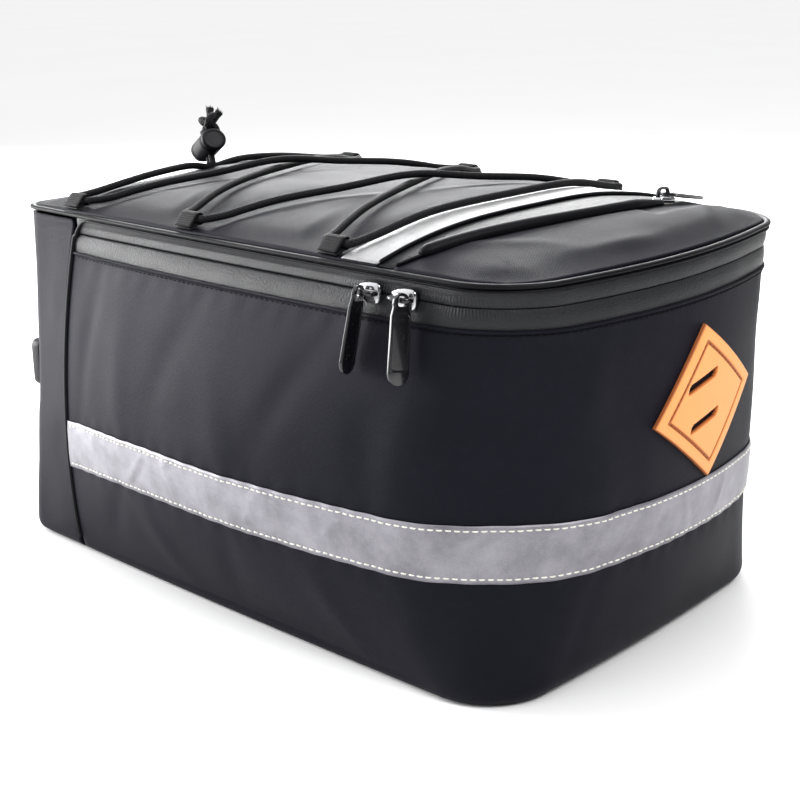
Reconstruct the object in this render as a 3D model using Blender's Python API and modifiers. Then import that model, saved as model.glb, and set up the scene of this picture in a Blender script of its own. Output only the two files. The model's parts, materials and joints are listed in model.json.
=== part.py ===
"""Rear seat bag for a bicycle: a soft box of coated fabric with a zipped lid, a pocket and an elastic cord.

Metres, +Z up. +X points to the rear of the bicycle, where the rubber patch is, and -Y is the near side, with
the two zip sliders. The origin is on the underside of the base, below the middle of the lid.
"""

import math
from collections import namedtuple

import bmesh
import bpy
from mathutils import Matrix, Vector

MM = 0.001

# Whole bag
LENGTH = 320 * MM
WIDTH = 209.4 * MM
HEIGHT = 181.2 * MM
CROWN = 12.5 * MM
GAP = 0.3 * MM

# Fabric
WALL = 2.5 * MM
LID_WALL = 2 * MM
BASE_EDGE = 8 * MM
BASE_GAP = 1.1 * MM
FRONT_CORNER = 11 * MM

# Seams and zips
PIPING_RADIUS = 2.1 * MM
SEAM_PIPING_RADIUS = 1.3 * MM
LID_ZIP_WIDTH = 18 * MM
ZIP_WALL = 1.3 * MM
ZIP_RECESS = 0.5 * MM

# Trim
TAPE_WIDTH = 25.4 * MM
TAPE_HEIGHT = 55.4 * MM
TAPE_DROP = 5 * MM
TAPE_WALL = 0.6 * MM
PATCH_WIDTH = 72.5 * MM
PATCH_HEIGHT = 70 * MM
PATCH_WALL = 2 * MM
PATCH_STEP = 12 * MM
PATCH_TURN = math.radians(5)
PATCH_CENTRE = (6.8 * MM, 116.7 * MM)
SLOT_LENGTH = 23 * MM
SLOT_WIDTH = 4.2 * MM
SLOT_SPACING = 18 * MM
SLOT_TURN = math.radians(7.6)
SLOT_SHIFT = (-4.9 * MM, 2.4 * MM)
LIP_RADIUS = 2.6 * MM

# Elastic cord, its loops and its lock
CORD_RADIUS = 1.9 * MM
LOOP_WIDTH = 11 * MM
LOOP_WALL = 1 * MM
LOOP_REACH = 9 * MM
LOOP_CLEARANCE = 0.5 * MM
CORD_BEND = 2.6 * MM
LOCK_RADIUS = 7 * MM
LOCK_LENGTH = 22 * MM
LOCK_WALL = 1 * MM
LOCK_ROUNDING = 1.2 * MM
PLUNGER_RADIUS = 4.3 * MM
PLUNGER_TRAVEL = 4 * MM
PLUNGER_FOOT = 1.3 * MM
PLUNGER_STAND = 0.8 * MM
KNOT_RADIUS = 5.2 * MM

# Zip sliders and pulls
SLIDER_LENGTH = 13 * MM
SLIDER_WIDTH = 9 * MM
SLIDER_HEIGHT = 2.6 * MM
SLIDER_ROUNDING = 1.1 * MM
SLIDER_GAP = 0.4 * MM
BAIL_LENGTH = 10.5 * MM
BAIL_RADIUS = 0.75 * MM
BAIL_RISE = 4.2 * MM
BAIL_BEND = 1 * MM
PULL_LENGTH = 37 * MM
PULL_WIDTH = 10.4 * MM
PULL_HEAD = 6.8 * MM
PULL_THICKNESS = 1.6 * MM
PULL_HOLE_RADIUS = 2.05 * MM

# Strap and buckle on the front face
STRAP_WIDTH = 20 * MM
STRAP_WALL = 1.5 * MM
STRAP_HEIGHT = 93 * MM
BUCKLE_PLACE = -0.40 * WIDTH
BUCKLE_WIDTH = 26 * MM
BUCKLE_DEPTH = 7.5 * MM
BUCKLE_CORNER = 4 * MM
BUCKLE_ROUNDING = 1.5 * MM
SOCKET_LENGTH = 28 * MM
PLUG_LENGTH = 16 * MM

# The plan of the bag at its base, half way up and at the lid's edge, with parabolas between. The corner, the
# bulges and the spread are shares of the width; the front's reach and the front seam are shares of the
# length.
Section = namedtuple("Section", "corner side_bulge rear_bulge front_bulge spread front_reach seam")
SECTIONS = (
    Section(
        corner=0.157, side_bulge=-0.014, rear_bulge=0.012, front_bulge=0.0, spread=0.024, front_reach=0.044,
        seam=-0.392,
    ),
    Section(
        corner=0.261, side_bulge=0.100, rear_bulge=0.099, front_bulge=0.030, spread=0.012, front_reach=0.003,
        seam=-0.372,
    ),
    Section(
        corner=0.127, side_bulge=-0.013, rear_bulge=0.068, front_bulge=0.010, spread=0.0, front_reach=-0.003,
        seam=-0.356,
    ),
)

# Where cloth swells or is drawn down on the lid: middle and reach as shares of the half length and width,
# rise as a share of the crown
Form = namedtuple("Form", "x y rise reach_x reach_y")
FORMS = (
    Form(x=0.83, y=0.0, rise=0.16, reach_x=0.13, reach_y=0.75),
    Form(x=0.66, y=0.62, rise=-0.14, reach_x=0.10, reach_y=0.22),
    Form(x=-0.75, y=-0.76, rise=-0.16, reach_x=0.10, reach_y=0.18),
    Form(x=-0.75, y=0.76, rise=-0.16, reach_x=0.10, reach_y=0.18),
    Form(x=-0.19, y=-0.76, rise=-0.16, reach_x=0.10, reach_y=0.18),
    Form(x=-0.19, y=0.76, rise=-0.16, reach_x=0.10, reach_y=0.18),
    Form(x=0.395, y=-0.76, rise=-0.16, reach_x=0.10, reach_y=0.18),
    Form(x=0.395, y=0.76, rise=-0.16, reach_x=0.10, reach_y=0.18),
)

# Lines across the lid, as shares of the half length at the near edge, the middle and the far edge
Line = namedtuple("Line", "near middle far")
STRIP_FRONT = Line(near=0.45, middle=0.385, far=0.45)
STRIP_REAR = Line(near=0.58, middle=0.54, far=0.58)
LIP = Line(near=0.63, middle=0.72, far=0.75)
LIP_ENDS = (-0.86, 0.50)
POCKET_PULL_TILT = math.radians(4)

# The loops along the lid, as shares of the half length
LOOPS = (-0.75, -0.19, 0.395)

# The way of the cord from the lock and back: side of the lid, number of the loop, and the end that the cord
# goes in by, -1 for the front and 1 for the rear. The strand before it goes over another where crosses is 1,
# and rests higher where it lies on the silver strip.
Pass = namedtuple("Pass", "side loop enters crosses rests")
LACING = (
    Pass(side=-1, loop=0, enters=-1, crosses=0, rests=0.0),
    Pass(side=1, loop=1, enters=-1, crosses=1, rests=0.0),
    Pass(side=-1, loop=2, enters=-1, crosses=0, rests=0.0),
    Pass(side=1, loop=2, enters=1, crosses=0, rests=1.1 * MM),
    Pass(side=-1, loop=1, enters=1, crosses=1, rests=0.0),
    Pass(side=1, loop=0, enters=1, crosses=0, rests=0.0),
)

# How high the strands beside the lock stand above the lid: share of the way to the loop, and lift
Stand = namedtuple("Stand", "share lift")
LOCK_STRAND = (
    Stand(share=0.05, lift=0.6 * MM),
    Stand(share=0.12, lift=2.0 * MM),
    Stand(share=0.22, lift=3.0 * MM),
    Stand(share=0.36, lift=2.6 * MM),
    Stand(share=0.52, lift=2.0 * MM),
    Stand(share=0.70, lift=1.6 * MM),
    Stand(share=0.88, lift=1.2 * MM),
)
LOCK_STRAND_BOW = 10 * MM
LOCK_STRAND_DROP = 4.6 * MM

# Middle of the lock's barrel, and the way its plunger points
LOCK_RISE = 21.5 * MM
LOCK_MIDDLE = Vector((-0.432 * LENGTH, 0.012 * WIDTH, HEIGHT + LOCK_RISE))
LOCK_AXIS = Vector((-0.849, 0.287, -0.440)).normalized()

# How far the knot sits to the side of the lock's slot, and how far the cord's two cut ends stand from its
# middle, in the lock's own frame
KNOT_SHIFT = Vector((-2.5 * MM, -2 * MM, 0))
KNOT_ENDS = (Vector((0, -3.3 * MM, 9 * MM)), Vector((-4 * MM, -7 * MM, 4.8 * MM)))

# The pulls of the lid zip: where the slider sits, how far the pull stands along its bail, and how it hangs
LidPull = namedtuple("LidPull", "name x along lean sway turn")
LID_PULLS = (
    LidPull(
        name="front", x=0.570, along=-1 * MM, lean=math.radians(14), sway=math.radians(-1), turn=math.radians(12)
    ),
    LidPull(
        name="rear", x=0.690, along=3.2 * MM, lean=math.radians(11), sway=math.radians(5), turn=math.radians(-10)
    ),
)

LID_INSET = PIPING_RADIUS + GAP
SEAM_HALF = SEAM_PIPING_RADIUS + GAP
ZIP_SEAM = HEIGHT - LID_ZIP_WIDTH
ZIP_MIDDLE = HEIGHT - 0.5 * LID_ZIP_WIDTH
LID_EDGE = HEIGHT - PIPING_RADIUS - GAP
TAPE_TOP = TAPE_HEIGHT + TAPE_WIDTH
LOOP_HOLE = CORD_RADIUS + LOOP_CLEARANCE

# Turns round the plan: from the near front seam round the rear to the far one, then back round the front
SIDE_START, REAR_MIDDLE, SIDE_END = 0, 2.5, 5
FRONT_START, FRONT_MIDDLE, FRONT_END = 6, 8.5, 11
SIDE_STEPS, CORNER_STEPS, REAR_STEPS, WRAP_STEPS = 8, 6, 8, 2
ACROSS_STEPS = 14
TURN_STEP = 0.01


def spaced(start, end, steps):
    return [start + (end - start) * i / steps for i in range(steps + 1)]


def clear_scene():
    for old in list(bpy.data.objects):
        bpy.data.objects.remove(old)


def finish(obj, colour, roughness, metallic=0.0):
    """Gives the object its material and files it with the bag's parts."""
    material = bpy.data.materials.new(obj.name)
    material.use_nodes = True
    shader = material.node_tree.nodes["Principled BSDF"]
    shader.inputs["Base Color"].default_value = (*colour, 1)
    shader.inputs["Roughness"].default_value = roughness
    shader.inputs["Metallic"].default_value = metallic
    obj.data.materials.append(material)
    bpy.data.collections["rear seat bag"].objects.link(obj)
    return obj


COATED, FILM, WEBBING = (0.030, 0.030, 0.036), (0.035, 0.036, 0.040), (0.012, 0.012, 0.013)
SILVER, RUBBER = (0.55, 0.54, 0.56), (0.80, 0.30, 0.08)
PLASTIC, METAL = (0.015, 0.015, 0.017), (0.03, 0.03, 0.035)


# The form of the walls


def at_height(share):
    """The section at a share of the height, on the parabola through the three rows."""
    weights = ((1 - share) * (1 - 2 * share), 4 * share * (1 - share), share * (2 * share - 1))
    columns = zip(*SECTIONS)
    return Section(*(sum(w * value for w, value in zip(weights, column)) for column in columns))


def plan_edges(section):
    """Front x, rear x and half width of the plan before it bulges."""
    half_length = 0.5 * LENGTH
    front = -half_length - section.front_reach * LENGTH
    rear = half_length + 0.18 * section.spread * WIDTH
    return front, rear, (0.5 + section.spread) * WIDTH


def bulged(x, y, section):
    front, rear, half_width = plan_edges(section)
    along = min(max((x - front) / (rear - front), 0), 1)
    across = min(abs(y) / half_width, 1)
    outward = section.side_bulge * WIDTH * math.sin(math.pi * along) * across
    arch = math.cos(0.5 * math.pi * across)
    x += section.rear_bulge * WIDTH * arch * max(2 * along - 1, 0)
    x -= section.front_bulge * WIDTH * arch * max(1 - 2 * along, 0)
    return x, y + math.copysign(outward, y)


def outline(turn, share):
    """A point of the plan at a share of the height."""
    section = at_height(share)
    front, rear, half_width = plan_edges(section)
    in_front = turn >= FRONT_START
    first, last = (FRONT_START, FRONT_END) if in_front else (SIDE_START, SIDE_END)
    step = min(turn - first, last - turn)
    side = -1 if turn < REAR_MIDDLE or turn > FRONT_MIDDLE else 1
    radius = FRONT_CORNER if in_front else section.corner * WIDTH
    end, way = (front, -1) if in_front else (rear, 1)
    seam = section.seam * LENGTH + way * SEAM_HALF
    angle = 0.5 * math.pi * (step - 1)
    if step < 1:
        x, y = seam + (end - way * radius - seam) * step, half_width
    elif step < 2:
        x = end - way * radius * (1 - math.sin(angle))
        y = half_width - radius * (1 - math.cos(angle))
    else:
        x, y = end, (half_width - radius) * (1 - 2 * (step - 2))
    return bulged(x, side * y, section)


def wall_point(turn, z, out=0.0):
    """A point of the outer face of the walls, moved out along the face."""
    share = max(z, 0) / HEIGHT
    low, high = (FRONT_START, FRONT_END) if turn >= FRONT_START else (SIDE_START, SIDE_END)
    before, after = outline(max(turn - TURN_STEP, low), share), outline(min(turn + TURN_STEP, high), share)
    x, y = outline(turn, share)
    plan_normal = Vector((after[1] - before[1], before[0] - after[0], 0)).normalized()
    if z >= BASE_EDGE:
        return Vector((x, y, z)) + plan_normal * out
    lean = math.acos(1 - z / BASE_EDGE)
    face = plan_normal * math.sin(lean) - Vector((0, 0, math.cos(lean)))
    return Vector((x, y, z)) - plan_normal * BASE_EDGE * (1 - math.sin(lean)) + face * out


# The form of the lid


def across_lid(line, v):
    """x of a line across the lid at v, from -1 at the near edge to 1 at the far one."""
    share = line.near * 0.5 * v * (v - 1) + line.middle * (1 - v * v) + line.far * 0.5 * v * (v + 1)
    return share * 0.5 * LENGTH


def lid_height(x, y):
    along, across = x / (0.5 * LENGTH), abs(y) / (0.5 * WIDTH)
    edge = max(1 - abs(along) ** 4, 0) * max(1 - across**3, 0)
    rise = edge
    for form in FORMS:
        there = ((along - form.x) / form.reach_x) ** 2 + ((y / (0.5 * WIDTH) - form.y) / form.reach_y) ** 2
        rise += form.rise * math.exp(-there) * min(3 * edge, 1)
    return HEIGHT + 0.5 * LID_WALL + CROWN * rise


def lid_surface(x, y):
    """The lid over the point x, y of its plan, whose square corners are first rounded."""
    section = SECTIONS[-1]
    front, rear, half_width = plan_edges(section)
    front, rear, half_width = front + LID_INSET, rear - LID_INSET, half_width - LID_INSET
    z = lid_height(x, y)
    rear_radius, front_radius = section.corner * WIDTH - LID_INSET, FRONT_CORNER - LID_INSET
    for end, way, radius in ((rear, 1, rear_radius), (front, -1, front_radius)):
        past_x, past_y = way * (x - end) + radius, abs(y) - half_width + radius
        if past_x > 0 and past_y > 0:
            pull = max(past_x, past_y) / math.hypot(past_x, past_y)
            x = end + way * (past_x * pull - radius)
            y = math.copysign(half_width + past_y * pull - radius, y)
    x, y = bulged(x, y, section)
    return Vector((x, y, z))


def lid_normal(x, y):
    step = 1 * MM
    inner = 0.5 * WIDTH - LID_INSET - step
    y = min(max(y, -inner), inner)
    along = lid_surface(x + step, y) - lid_surface(x - step, y)
    across = lid_surface(x, y + step) - lid_surface(x, y - step)
    return along.cross(across).normalized()


def lid_point(x, y, out=0.0):
    return lid_surface(x, y) + lid_normal(x, y) * out


# Ways of making a piece


def sheet(name, columns, rows, place, wall, outside=False):
    """Cloth: a grid set on its outer face by place(column, row), then thickened inwards, or outwards."""
    mesh = bpy.data.meshes.new(name)
    shape = bmesh.new()
    across, up = len(columns) - 1, len(rows) - 1
    bmesh.ops.create_grid(shape, x_segments=across, y_segments=up, size=1)
    for vert in shape.verts:
        column, row = round((vert.co.x + 1) / 2 * across), round((vert.co.y + 1) / 2 * up)
        vert.co = place(columns[column], rows[row])
    shape.normal_update()
    middle = Vector((0, 0, 0.5 * HEIGHT))
    facing = sum(face.normal.dot(face.calc_center_median() - middle) for face in shape.faces)
    if facing < 0:
        bmesh.ops.reverse_faces(shape, faces=shape.faces)
    shape.to_mesh(mesh)
    shape.free()
    mesh.shade_smooth()
    obj = bpy.data.objects.new(name, mesh)
    solid = obj.modifiers.new("wall", "SOLIDIFY")
    solid.thickness = wall
    solid.offset = 1 if outside else -1
    solid.use_even_offset = True
    solid.use_quality_normals = True
    return obj


def tube(name, points, radius, closed=False, tapers=None):
    curve = bpy.data.curves.new(name, "CURVE")
    curve.dimensions = "3D"
    curve.bevel_depth = radius
    curve.bevel_resolution = 1
    curve.use_fill_caps = not closed
    spline = curve.splines.new("POLY")
    spline.points.add(len(points) - 1)
    for i, point in enumerate(points):
        spline.points[i].co = (*point, 1)
        spline.points[i].radius = tapers[i] if tapers else 1
    spline.use_cyclic_u = closed
    return bpy.data.objects.new(name, curve)


def flat_outline(name, outlines, thickness):
    """A flat piece in its own x and y, from closed outlines of which the later ones are holes."""
    curve = bpy.data.curves.new(name, "CURVE")
    curve.dimensions = "2D"
    curve.fill_mode = "BOTH"
    curve.extrude = 0.5 * thickness
    for outline_points in outlines:
        spline = curve.splines.new("POLY")
        spline.points.add(len(outline_points) - 1)
        for i, (x, y) in enumerate(outline_points):
            spline.points[i].co = (x, y, 0, 1)
        spline.use_cyclic_u = True
    return bpy.data.objects.new(name, curve)


def circle(x, y, radius, sides, start=0.0, end=2 * math.pi):
    whole = abs(end - start - 2 * math.pi) < 1e-6
    steps = sides if whole else sides - 1
    angles = [start + (end - start) * i / steps for i in range(sides)]
    return [(x + radius * math.cos(angle), y + radius * math.sin(angle)) for angle in angles]


def as_mesh(obj):
    """The object with its modifiers applied, as a closed mesh in place of itself."""
    bpy.context.scene.collection.objects.link(obj)
    bpy.context.view_layer.update()
    evaluated = obj.evaluated_get(bpy.context.evaluated_depsgraph_get())
    mesh = bpy.data.meshes.new_from_object(evaluated)
    shape = bmesh.new()
    shape.from_mesh(mesh)
    bmesh.ops.remove_doubles(shape, verts=shape.verts, dist=0.001 * MM)
    bmesh.ops.recalc_face_normals(shape, faces=shape.faces)
    shape.to_mesh(mesh)
    shape.free()
    made = bpy.data.objects.new(obj.name, mesh)
    made.matrix_world = obj.matrix_world
    bpy.data.objects.remove(obj)
    made.name = mesh.name = made.name.split(".")[0]
    return made


def turned(name, profile, steps=24):
    """A piece turned about its own x from (x, radius) points that start and end on the axis."""
    mesh = bpy.data.meshes.new(name)
    shape = bmesh.new()
    line = [shape.verts.new((x, radius, 0)) for x, radius in profile]
    for a, b in zip(line, line[1:]):
        shape.edges.new((a, b))
    bmesh.ops.spin(
        shape, geom=shape.verts[:] + shape.edges[:], cent=(0, 0, 0), axis=(1, 0, 0), angle=2 * math.pi,
        steps=steps, use_merge=True,
    )
    bmesh.ops.remove_doubles(shape, verts=shape.verts, dist=0.001 * MM)
    bmesh.ops.recalc_face_normals(shape, faces=shape.faces)
    shape.to_mesh(mesh)
    shape.free()
    return bpy.data.objects.new(name, mesh)


def block(name, size, middle=(0, 0, 0)):
    mesh = bpy.data.meshes.new(name)
    shape = bmesh.new()
    bmesh.ops.create_cube(shape, size=1)
    bmesh.ops.scale(shape, vec=size, verts=shape.verts)
    bmesh.ops.translate(shape, vec=middle, verts=shape.verts)
    shape.to_mesh(mesh)
    shape.free()
    return bpy.data.objects.new(name, mesh)


def combine(obj, other, operation):
    """Cuts the other piece from this one, or joins it on, and keeps the result as this one's mesh."""
    other.hide_render = True
    other.display_type = "WIRE"
    bpy.data.collections["cutters"].objects.link(other)
    boolean = obj.modifiers.new(operation.lower(), "BOOLEAN")
    boolean.operation = operation
    boolean.object = other
    made = as_mesh(obj)
    bpy.data.objects.remove(other)
    return made


def frame_at(origin, along, outward):
    """A matrix whose x runs along, z points outward and y lies across."""
    z = outward.normalized()
    x = (along - z * along.dot(z)).normalized()
    y = z.cross(x)
    return Matrix.Translation(origin) @ Matrix((x, y, z)).transposed().to_4x4()


# Walls and base


def side_columns():
    side = spaced(0, 1, SIDE_STEPS)
    corner = spaced(1, 2, CORNER_STEPS)
    rear = spaced(2, 3, REAR_STEPS)
    half = side + corner[1:]
    return half + rear[1:-1] + [SIDE_END - turn for turn in reversed(half)]


def front_columns():
    half = spaced(6, 7, WRAP_STEPS) + spaced(7, 8, CORNER_STEPS // 2)[1:]
    return half + spaced(8, 9, REAR_STEPS)[1:-1] + [2 * FRONT_MIDDLE - turn for turn in reversed(half)]


def turned_under():
    return [BASE_EDGE * (1 - math.cos(0.5 * math.pi * i / 3)) for i in range(4)]


def side_wall():
    rows = turned_under() + spaced(BASE_EDGE, TAPE_HEIGHT, 3)[1:] + spaced(TAPE_HEIGHT, TAPE_TOP, 2)[1:]
    rows += spaced(TAPE_TOP, ZIP_SEAM, 6)[1:]
    return finish(sheet("side_wall", side_columns(), rows, wall_point, WALL), COATED, 0.62)


def front_panel():
    rows = turned_under() + spaced(BASE_EDGE, LID_EDGE, 9)[1:]
    return finish(sheet("front_panel", front_columns(), rows, wall_point, WALL), COATED, 0.62)


def base_panel():
    edge = []
    for turn in side_columns() + front_columns():
        middle, underside = wall_point(turn, BASE_EDGE), wall_point(turn, 0)
        inward = (underside - middle) * Vector((1, 1, 0))
        edge.append((underside + inward.normalized() * BASE_GAP).to_2d())
    panel = flat_outline("base_panel", [edge], WALL)
    panel.location.z = 0.5 * WALL
    return finish(panel, COATED, 0.7)


def front_seams():
    for name, before, after in (("near", FRONT_END, SIDE_START), ("far", SIDE_END, FRONT_START)):
        rows = spaced(BASE_EDGE, LID_EDGE - SEAM_PIPING_RADIUS, 12)
        points = [(wall_point(before, z) + wall_point(after, z)) / 2 for z in rows]
        finish(tube(f"front_seam_{name}", points, SEAM_PIPING_RADIUS), WEBBING, 0.5)


def tape_lift(turn):
    """How far the band hangs below its level towards the front seams."""
    step = min(turn, SIDE_END - turn)
    return -TAPE_DROP * max(1 - 2.2 * step, 0) ** 2


def reflective_band():
    def place(turn, z):
        return wall_point(turn, z + tape_lift(turn), GAP)

    rows = spaced(TAPE_HEIGHT, TAPE_TOP, 2)
    band = sheet("reflective_band", side_columns(), rows, place, TAPE_WALL, outside=True)
    return finish(band, SILVER, 0.45, 0.3)


def lid_zip():
    def place(turn, z):
        return wall_point(turn, z, -ZIP_RECESS)

    halves = (("lower", ZIP_SEAM + GAP, ZIP_MIDDLE - 0.5 * GAP), ("upper", ZIP_MIDDLE + 0.5 * GAP, LID_EDGE))
    for name, low, high in halves:
        half = sheet(f"lid_zip_{name}", side_columns(), spaced(low, high, 1), place, ZIP_WALL)
        finish(half, FILM, 0.45)


def lid_piping():
    points = []
    for turn in side_columns() + front_columns():
        points.append(wall_point(turn, HEIGHT))
    return finish(tube("lid_piping", points, PIPING_RADIUS, closed=True), WEBBING, 0.5)


# Patch on the rear face


def rubber_patch():
    """A diamond with two slots, cut flat, then laid on the rear face."""
    half_w, half_h = 0.5 * PATCH_WIDTH, 0.5 * PATCH_HEIGHT
    diamond = [(-half_w, 0), (0, -half_h), (half_w, 0), (0, half_h)]
    patch = as_mesh(flat_outline("rubber_patch", [diamond], PATCH_WALL))
    for way in (-1, 1):
        ends = circle(0.5 * (SLOT_LENGTH - SLOT_WIDTH), 0, 0.5 * SLOT_WIDTH, 5, -0.5 * math.pi, 0.5 * math.pi)
        slot = flat_outline("slot", [ends + [(-x, -y) for x, y in ends]], 3 * PATCH_WALL)
        turn = Matrix.Rotation(SLOT_TURN, 4, "Z")
        across, up = SLOT_SHIFT
        slot.matrix_world = Matrix.Translation((across, up + 0.5 * way * SLOT_SPACING, 0)) @ turn
        patch = combine(patch, as_mesh(slot), "DIFFERENCE")
    shape = bmesh.new()
    shape.from_mesh(patch.data)
    step = PATCH_STEP
    for axis, reach in ((0, half_w), (1, half_h)):
        count = int(reach / step)
        for i in range(-count, count + 1):
            at, normal = Vector((0, 0, 0)), Vector((0, 0, 0))
            at[axis], normal[axis] = i * step, 1
            geometry = shape.verts[:] + shape.edges[:] + shape.faces[:]
            bmesh.ops.bisect_plane(shape, geom=geometry, dist=1e-6, plane_co=at, plane_no=normal)
    rear_width = 2 * (0.5 - SECTIONS[1].corner) * WIDTH
    for vert in shape.verts:
        y = vert.co.x * math.cos(PATCH_TURN) - vert.co.y * math.sin(PATCH_TURN) + PATCH_CENTRE[0]
        z = vert.co.x * math.sin(PATCH_TURN) + vert.co.y * math.cos(PATCH_TURN) + PATCH_CENTRE[1]
        vert.co = wall_point(REAR_MIDDLE + y / rear_width, z, GAP + 0.5 * PATCH_WALL + vert.co.z)
    bmesh.ops.recalc_face_normals(shape, faces=shape.faces)
    shape.to_mesh(patch.data)
    shape.free()
    return finish(patch, RUBBER, 0.45)


# Lid


def lid_piece(name, first, last, steps, wall=LID_WALL, out=0.0, outside=False):
    """A piece of the lid between two lines that give x for each v across it."""

    def place(v, u):
        x = first(v) + (last(v) - first(v)) * u
        return lid_point(x, v * (0.5 * WIDTH - LID_INSET), out)

    return sheet(name, spaced(-1, 1, ACROSS_STEPS), spaced(0, 1, steps), place, wall, outside)


def lid():
    front, rear, _ = plan_edges(SECTIONS[-1])

    def front_edge(_):
        return front + LID_INSET

    def rear_edge(_):
        return rear - LID_INSET

    def strip_front(v):
        return across_lid(STRIP_FRONT, v)

    def strip_rear(v):
        return across_lid(STRIP_REAR, v) - GAP

    def seam_front(v):
        return across_lid(STRIP_REAR, v) - 0.5 * GAP

    def seam_rear(v):
        return across_lid(STRIP_REAR, v) + 0.5 * GAP

    def lip_front(v):
        return across_lid(LIP, v) - GAP

    def lip(v):
        return across_lid(LIP, v)

    finish(lid_piece("lid_front_panel", front_edge, seam_front, 14), COATED, 0.6)
    finish(lid_piece("pocket_zip_band", seam_rear, lip_front, 2), FILM, 0.4)
    finish(lid_piece("lid_pocket_panel", lip, rear_edge, 7), COATED, 0.6)
    strip = lid_piece("lid_reflective_strip", strip_front, strip_rear, 2, TAPE_WALL, 2.5 * GAP, True)
    finish(strip, SILVER, 0.4, 0.3)
    reach = spaced(LIP_ENDS[0], LIP_ENDS[1], 16)
    points = [lid_point(lip(v), v * 0.5 * WIDTH, LIP_RADIUS + GAP) for v in reach]
    tapers = [min(1, 0.45 + 2.5 * min(v - reach[0], reach[-1] - v)) for v in reach]
    finish(tube("pocket_lip", points, LIP_RADIUS, tapers=tapers), WEBBING, 0.5)


# Elastic cord and what holds it


def loop_place(side, loop):
    """Where the cord's middle lies in a loop, in the lid's own x and y, and how far out."""
    out = LOOP_HOLE + LOOP_WALL + LOOP_CLEARANCE
    return LOOPS[loop] * 0.5 * LENGTH, side * (0.5 * WIDTH - LOOP_REACH), out


def cord_loop(side, loop):
    """Webbing folded round the cord, with its two ends laid on the lid down to the piping."""
    x, y, out = loop_place(side, loop)
    middle = lid_point(x, y, out)
    edge = 0.5 * WIDTH - LID_INSET - GAP
    tail = [side * each for each in spaced(abs(y) + LOOP_HOLE + 1.5 * LOOP_WALL, edge, 3)]
    under = [lid_point(x, each, LOOP_CLEARANCE) for each in tail]
    over = [lid_point(x, each, LOOP_CLEARANCE + 2 * LOOP_WALL) for each in tail]
    ring = circle(0, 0, LOOP_HOLE + LOOP_WALL, 12, math.radians(-80), math.radians(-340))
    flat = [(side * (p.y - middle.y), p.z - middle.z) for p in reversed(under)]
    flat += ring
    flat += [(side * (p.y - middle.y), p.z - middle.z) for p in over]
    hole = circle(0, 0, LOOP_HOLE, 12)
    name = f"cord_loop_{'near' if side < 0 else 'far'}_{loop + 1}"
    obj = as_mesh(flat_outline(name, [flat, hole], LOOP_WIDTH))
    across = Vector((0, side, 0))
    obj.matrix_world = Matrix.Translation(middle) @ Matrix(
        (across, Vector((0, 0, 1)), across.cross(Vector((0, 0, 1))))
    ).transposed().to_4x4()
    return finish(obj, WEBBING, 0.8)


def lock_frame():
    """The barrel's x points to the plunger and its z up along the cords."""
    up = Vector((0, 0, 1))
    return frame_at(LOCK_MIDDLE, LOCK_AXIS, up - LOCK_AXIS * up.dot(LOCK_AXIS))


def cord_points():
    """The way of the cord: down through the lock, round the six loops and up through the lock again."""
    lock = lock_frame()
    rest = CORD_RADIUS + 2 * GAP
    beside = 0.5 * LOOP_WIDTH + CORD_BEND
    start = LOCK_RADIUS + GAP
    route = [lock @ Vector((-CORD_RADIUS - 0.5 * GAP, 0, z)) for z in (start, 0, -start)]
    previous = None
    for stop in LACING:
        x, y, out = loop_place(stop.side, stop.loop)
        middle = lid_point(x, y, out)
        enter = (x + stop.enters * beside, y)
        leave = (x - stop.enters * beside, y)
        if previous is None:
            route += lock_strand(-1, enter)
        else:
            route += strand(previous, enter, rest + stop.rests, stop.crosses)
        route += [middle + Vector((stop.enters * share * beside, 0, 0)) for share in (1, 0, -1)]
        previous = leave
    route += reversed(lock_strand(1, previous))
    route += [lock @ Vector((CORD_RADIUS + 0.5 * GAP, 0, z)) for z in (-start, 0, start)]
    return eased(route)


def eased(points):
    """The same way with each corner cut off in two."""
    way = [points[0]]
    for before, point, after in zip(points, points[1:], points[2:]):
        for other in (before, after):
            reach = other - point
            way.append(point + reach.normalized() * min(0.8 * CORD_BEND, 0.4 * reach.length))
    return way + [points[-1]]


def strand(start, end, rest, crosses):
    """A strand over the lid between two loops, with a rise at its middle where it crosses another."""
    points = []
    for share in spaced(0.05, 0.95, 8):
        x, y = (a + (b - a) * share for a, b in zip(start, end))
        hump = crosses * (2 * CORD_RADIUS + GAP) * math.exp(-(((share - 0.5) / 0.13) ** 2))
        points.append(lid_point(x, y, rest + hump))
    return points


def lock_strand(side, end):
    """A strand from under the lock down to the first or the last loop."""
    lock = lock_frame()
    foot = lock @ Vector((side * (CORD_RADIUS + 0.5 * GAP), 0, -LOCK_RADIUS - LOCK_STRAND_DROP))
    points = [foot]
    for share, lift in LOCK_STRAND:
        x = foot.x + (end[0] - foot.x) * share + LOCK_STRAND_BOW * (1 - share) * math.sin(math.pi * share)
        y = foot.y + (end[1] - foot.y) * share
        points.append(lid_point(x, y, CORD_RADIUS + LOOP_CLEARANCE + lift))
    return points


def bungee_cord():
    return finish(tube("bungee_cord", cord_points(), CORD_RADIUS), WEBBING, 0.75)


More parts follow.
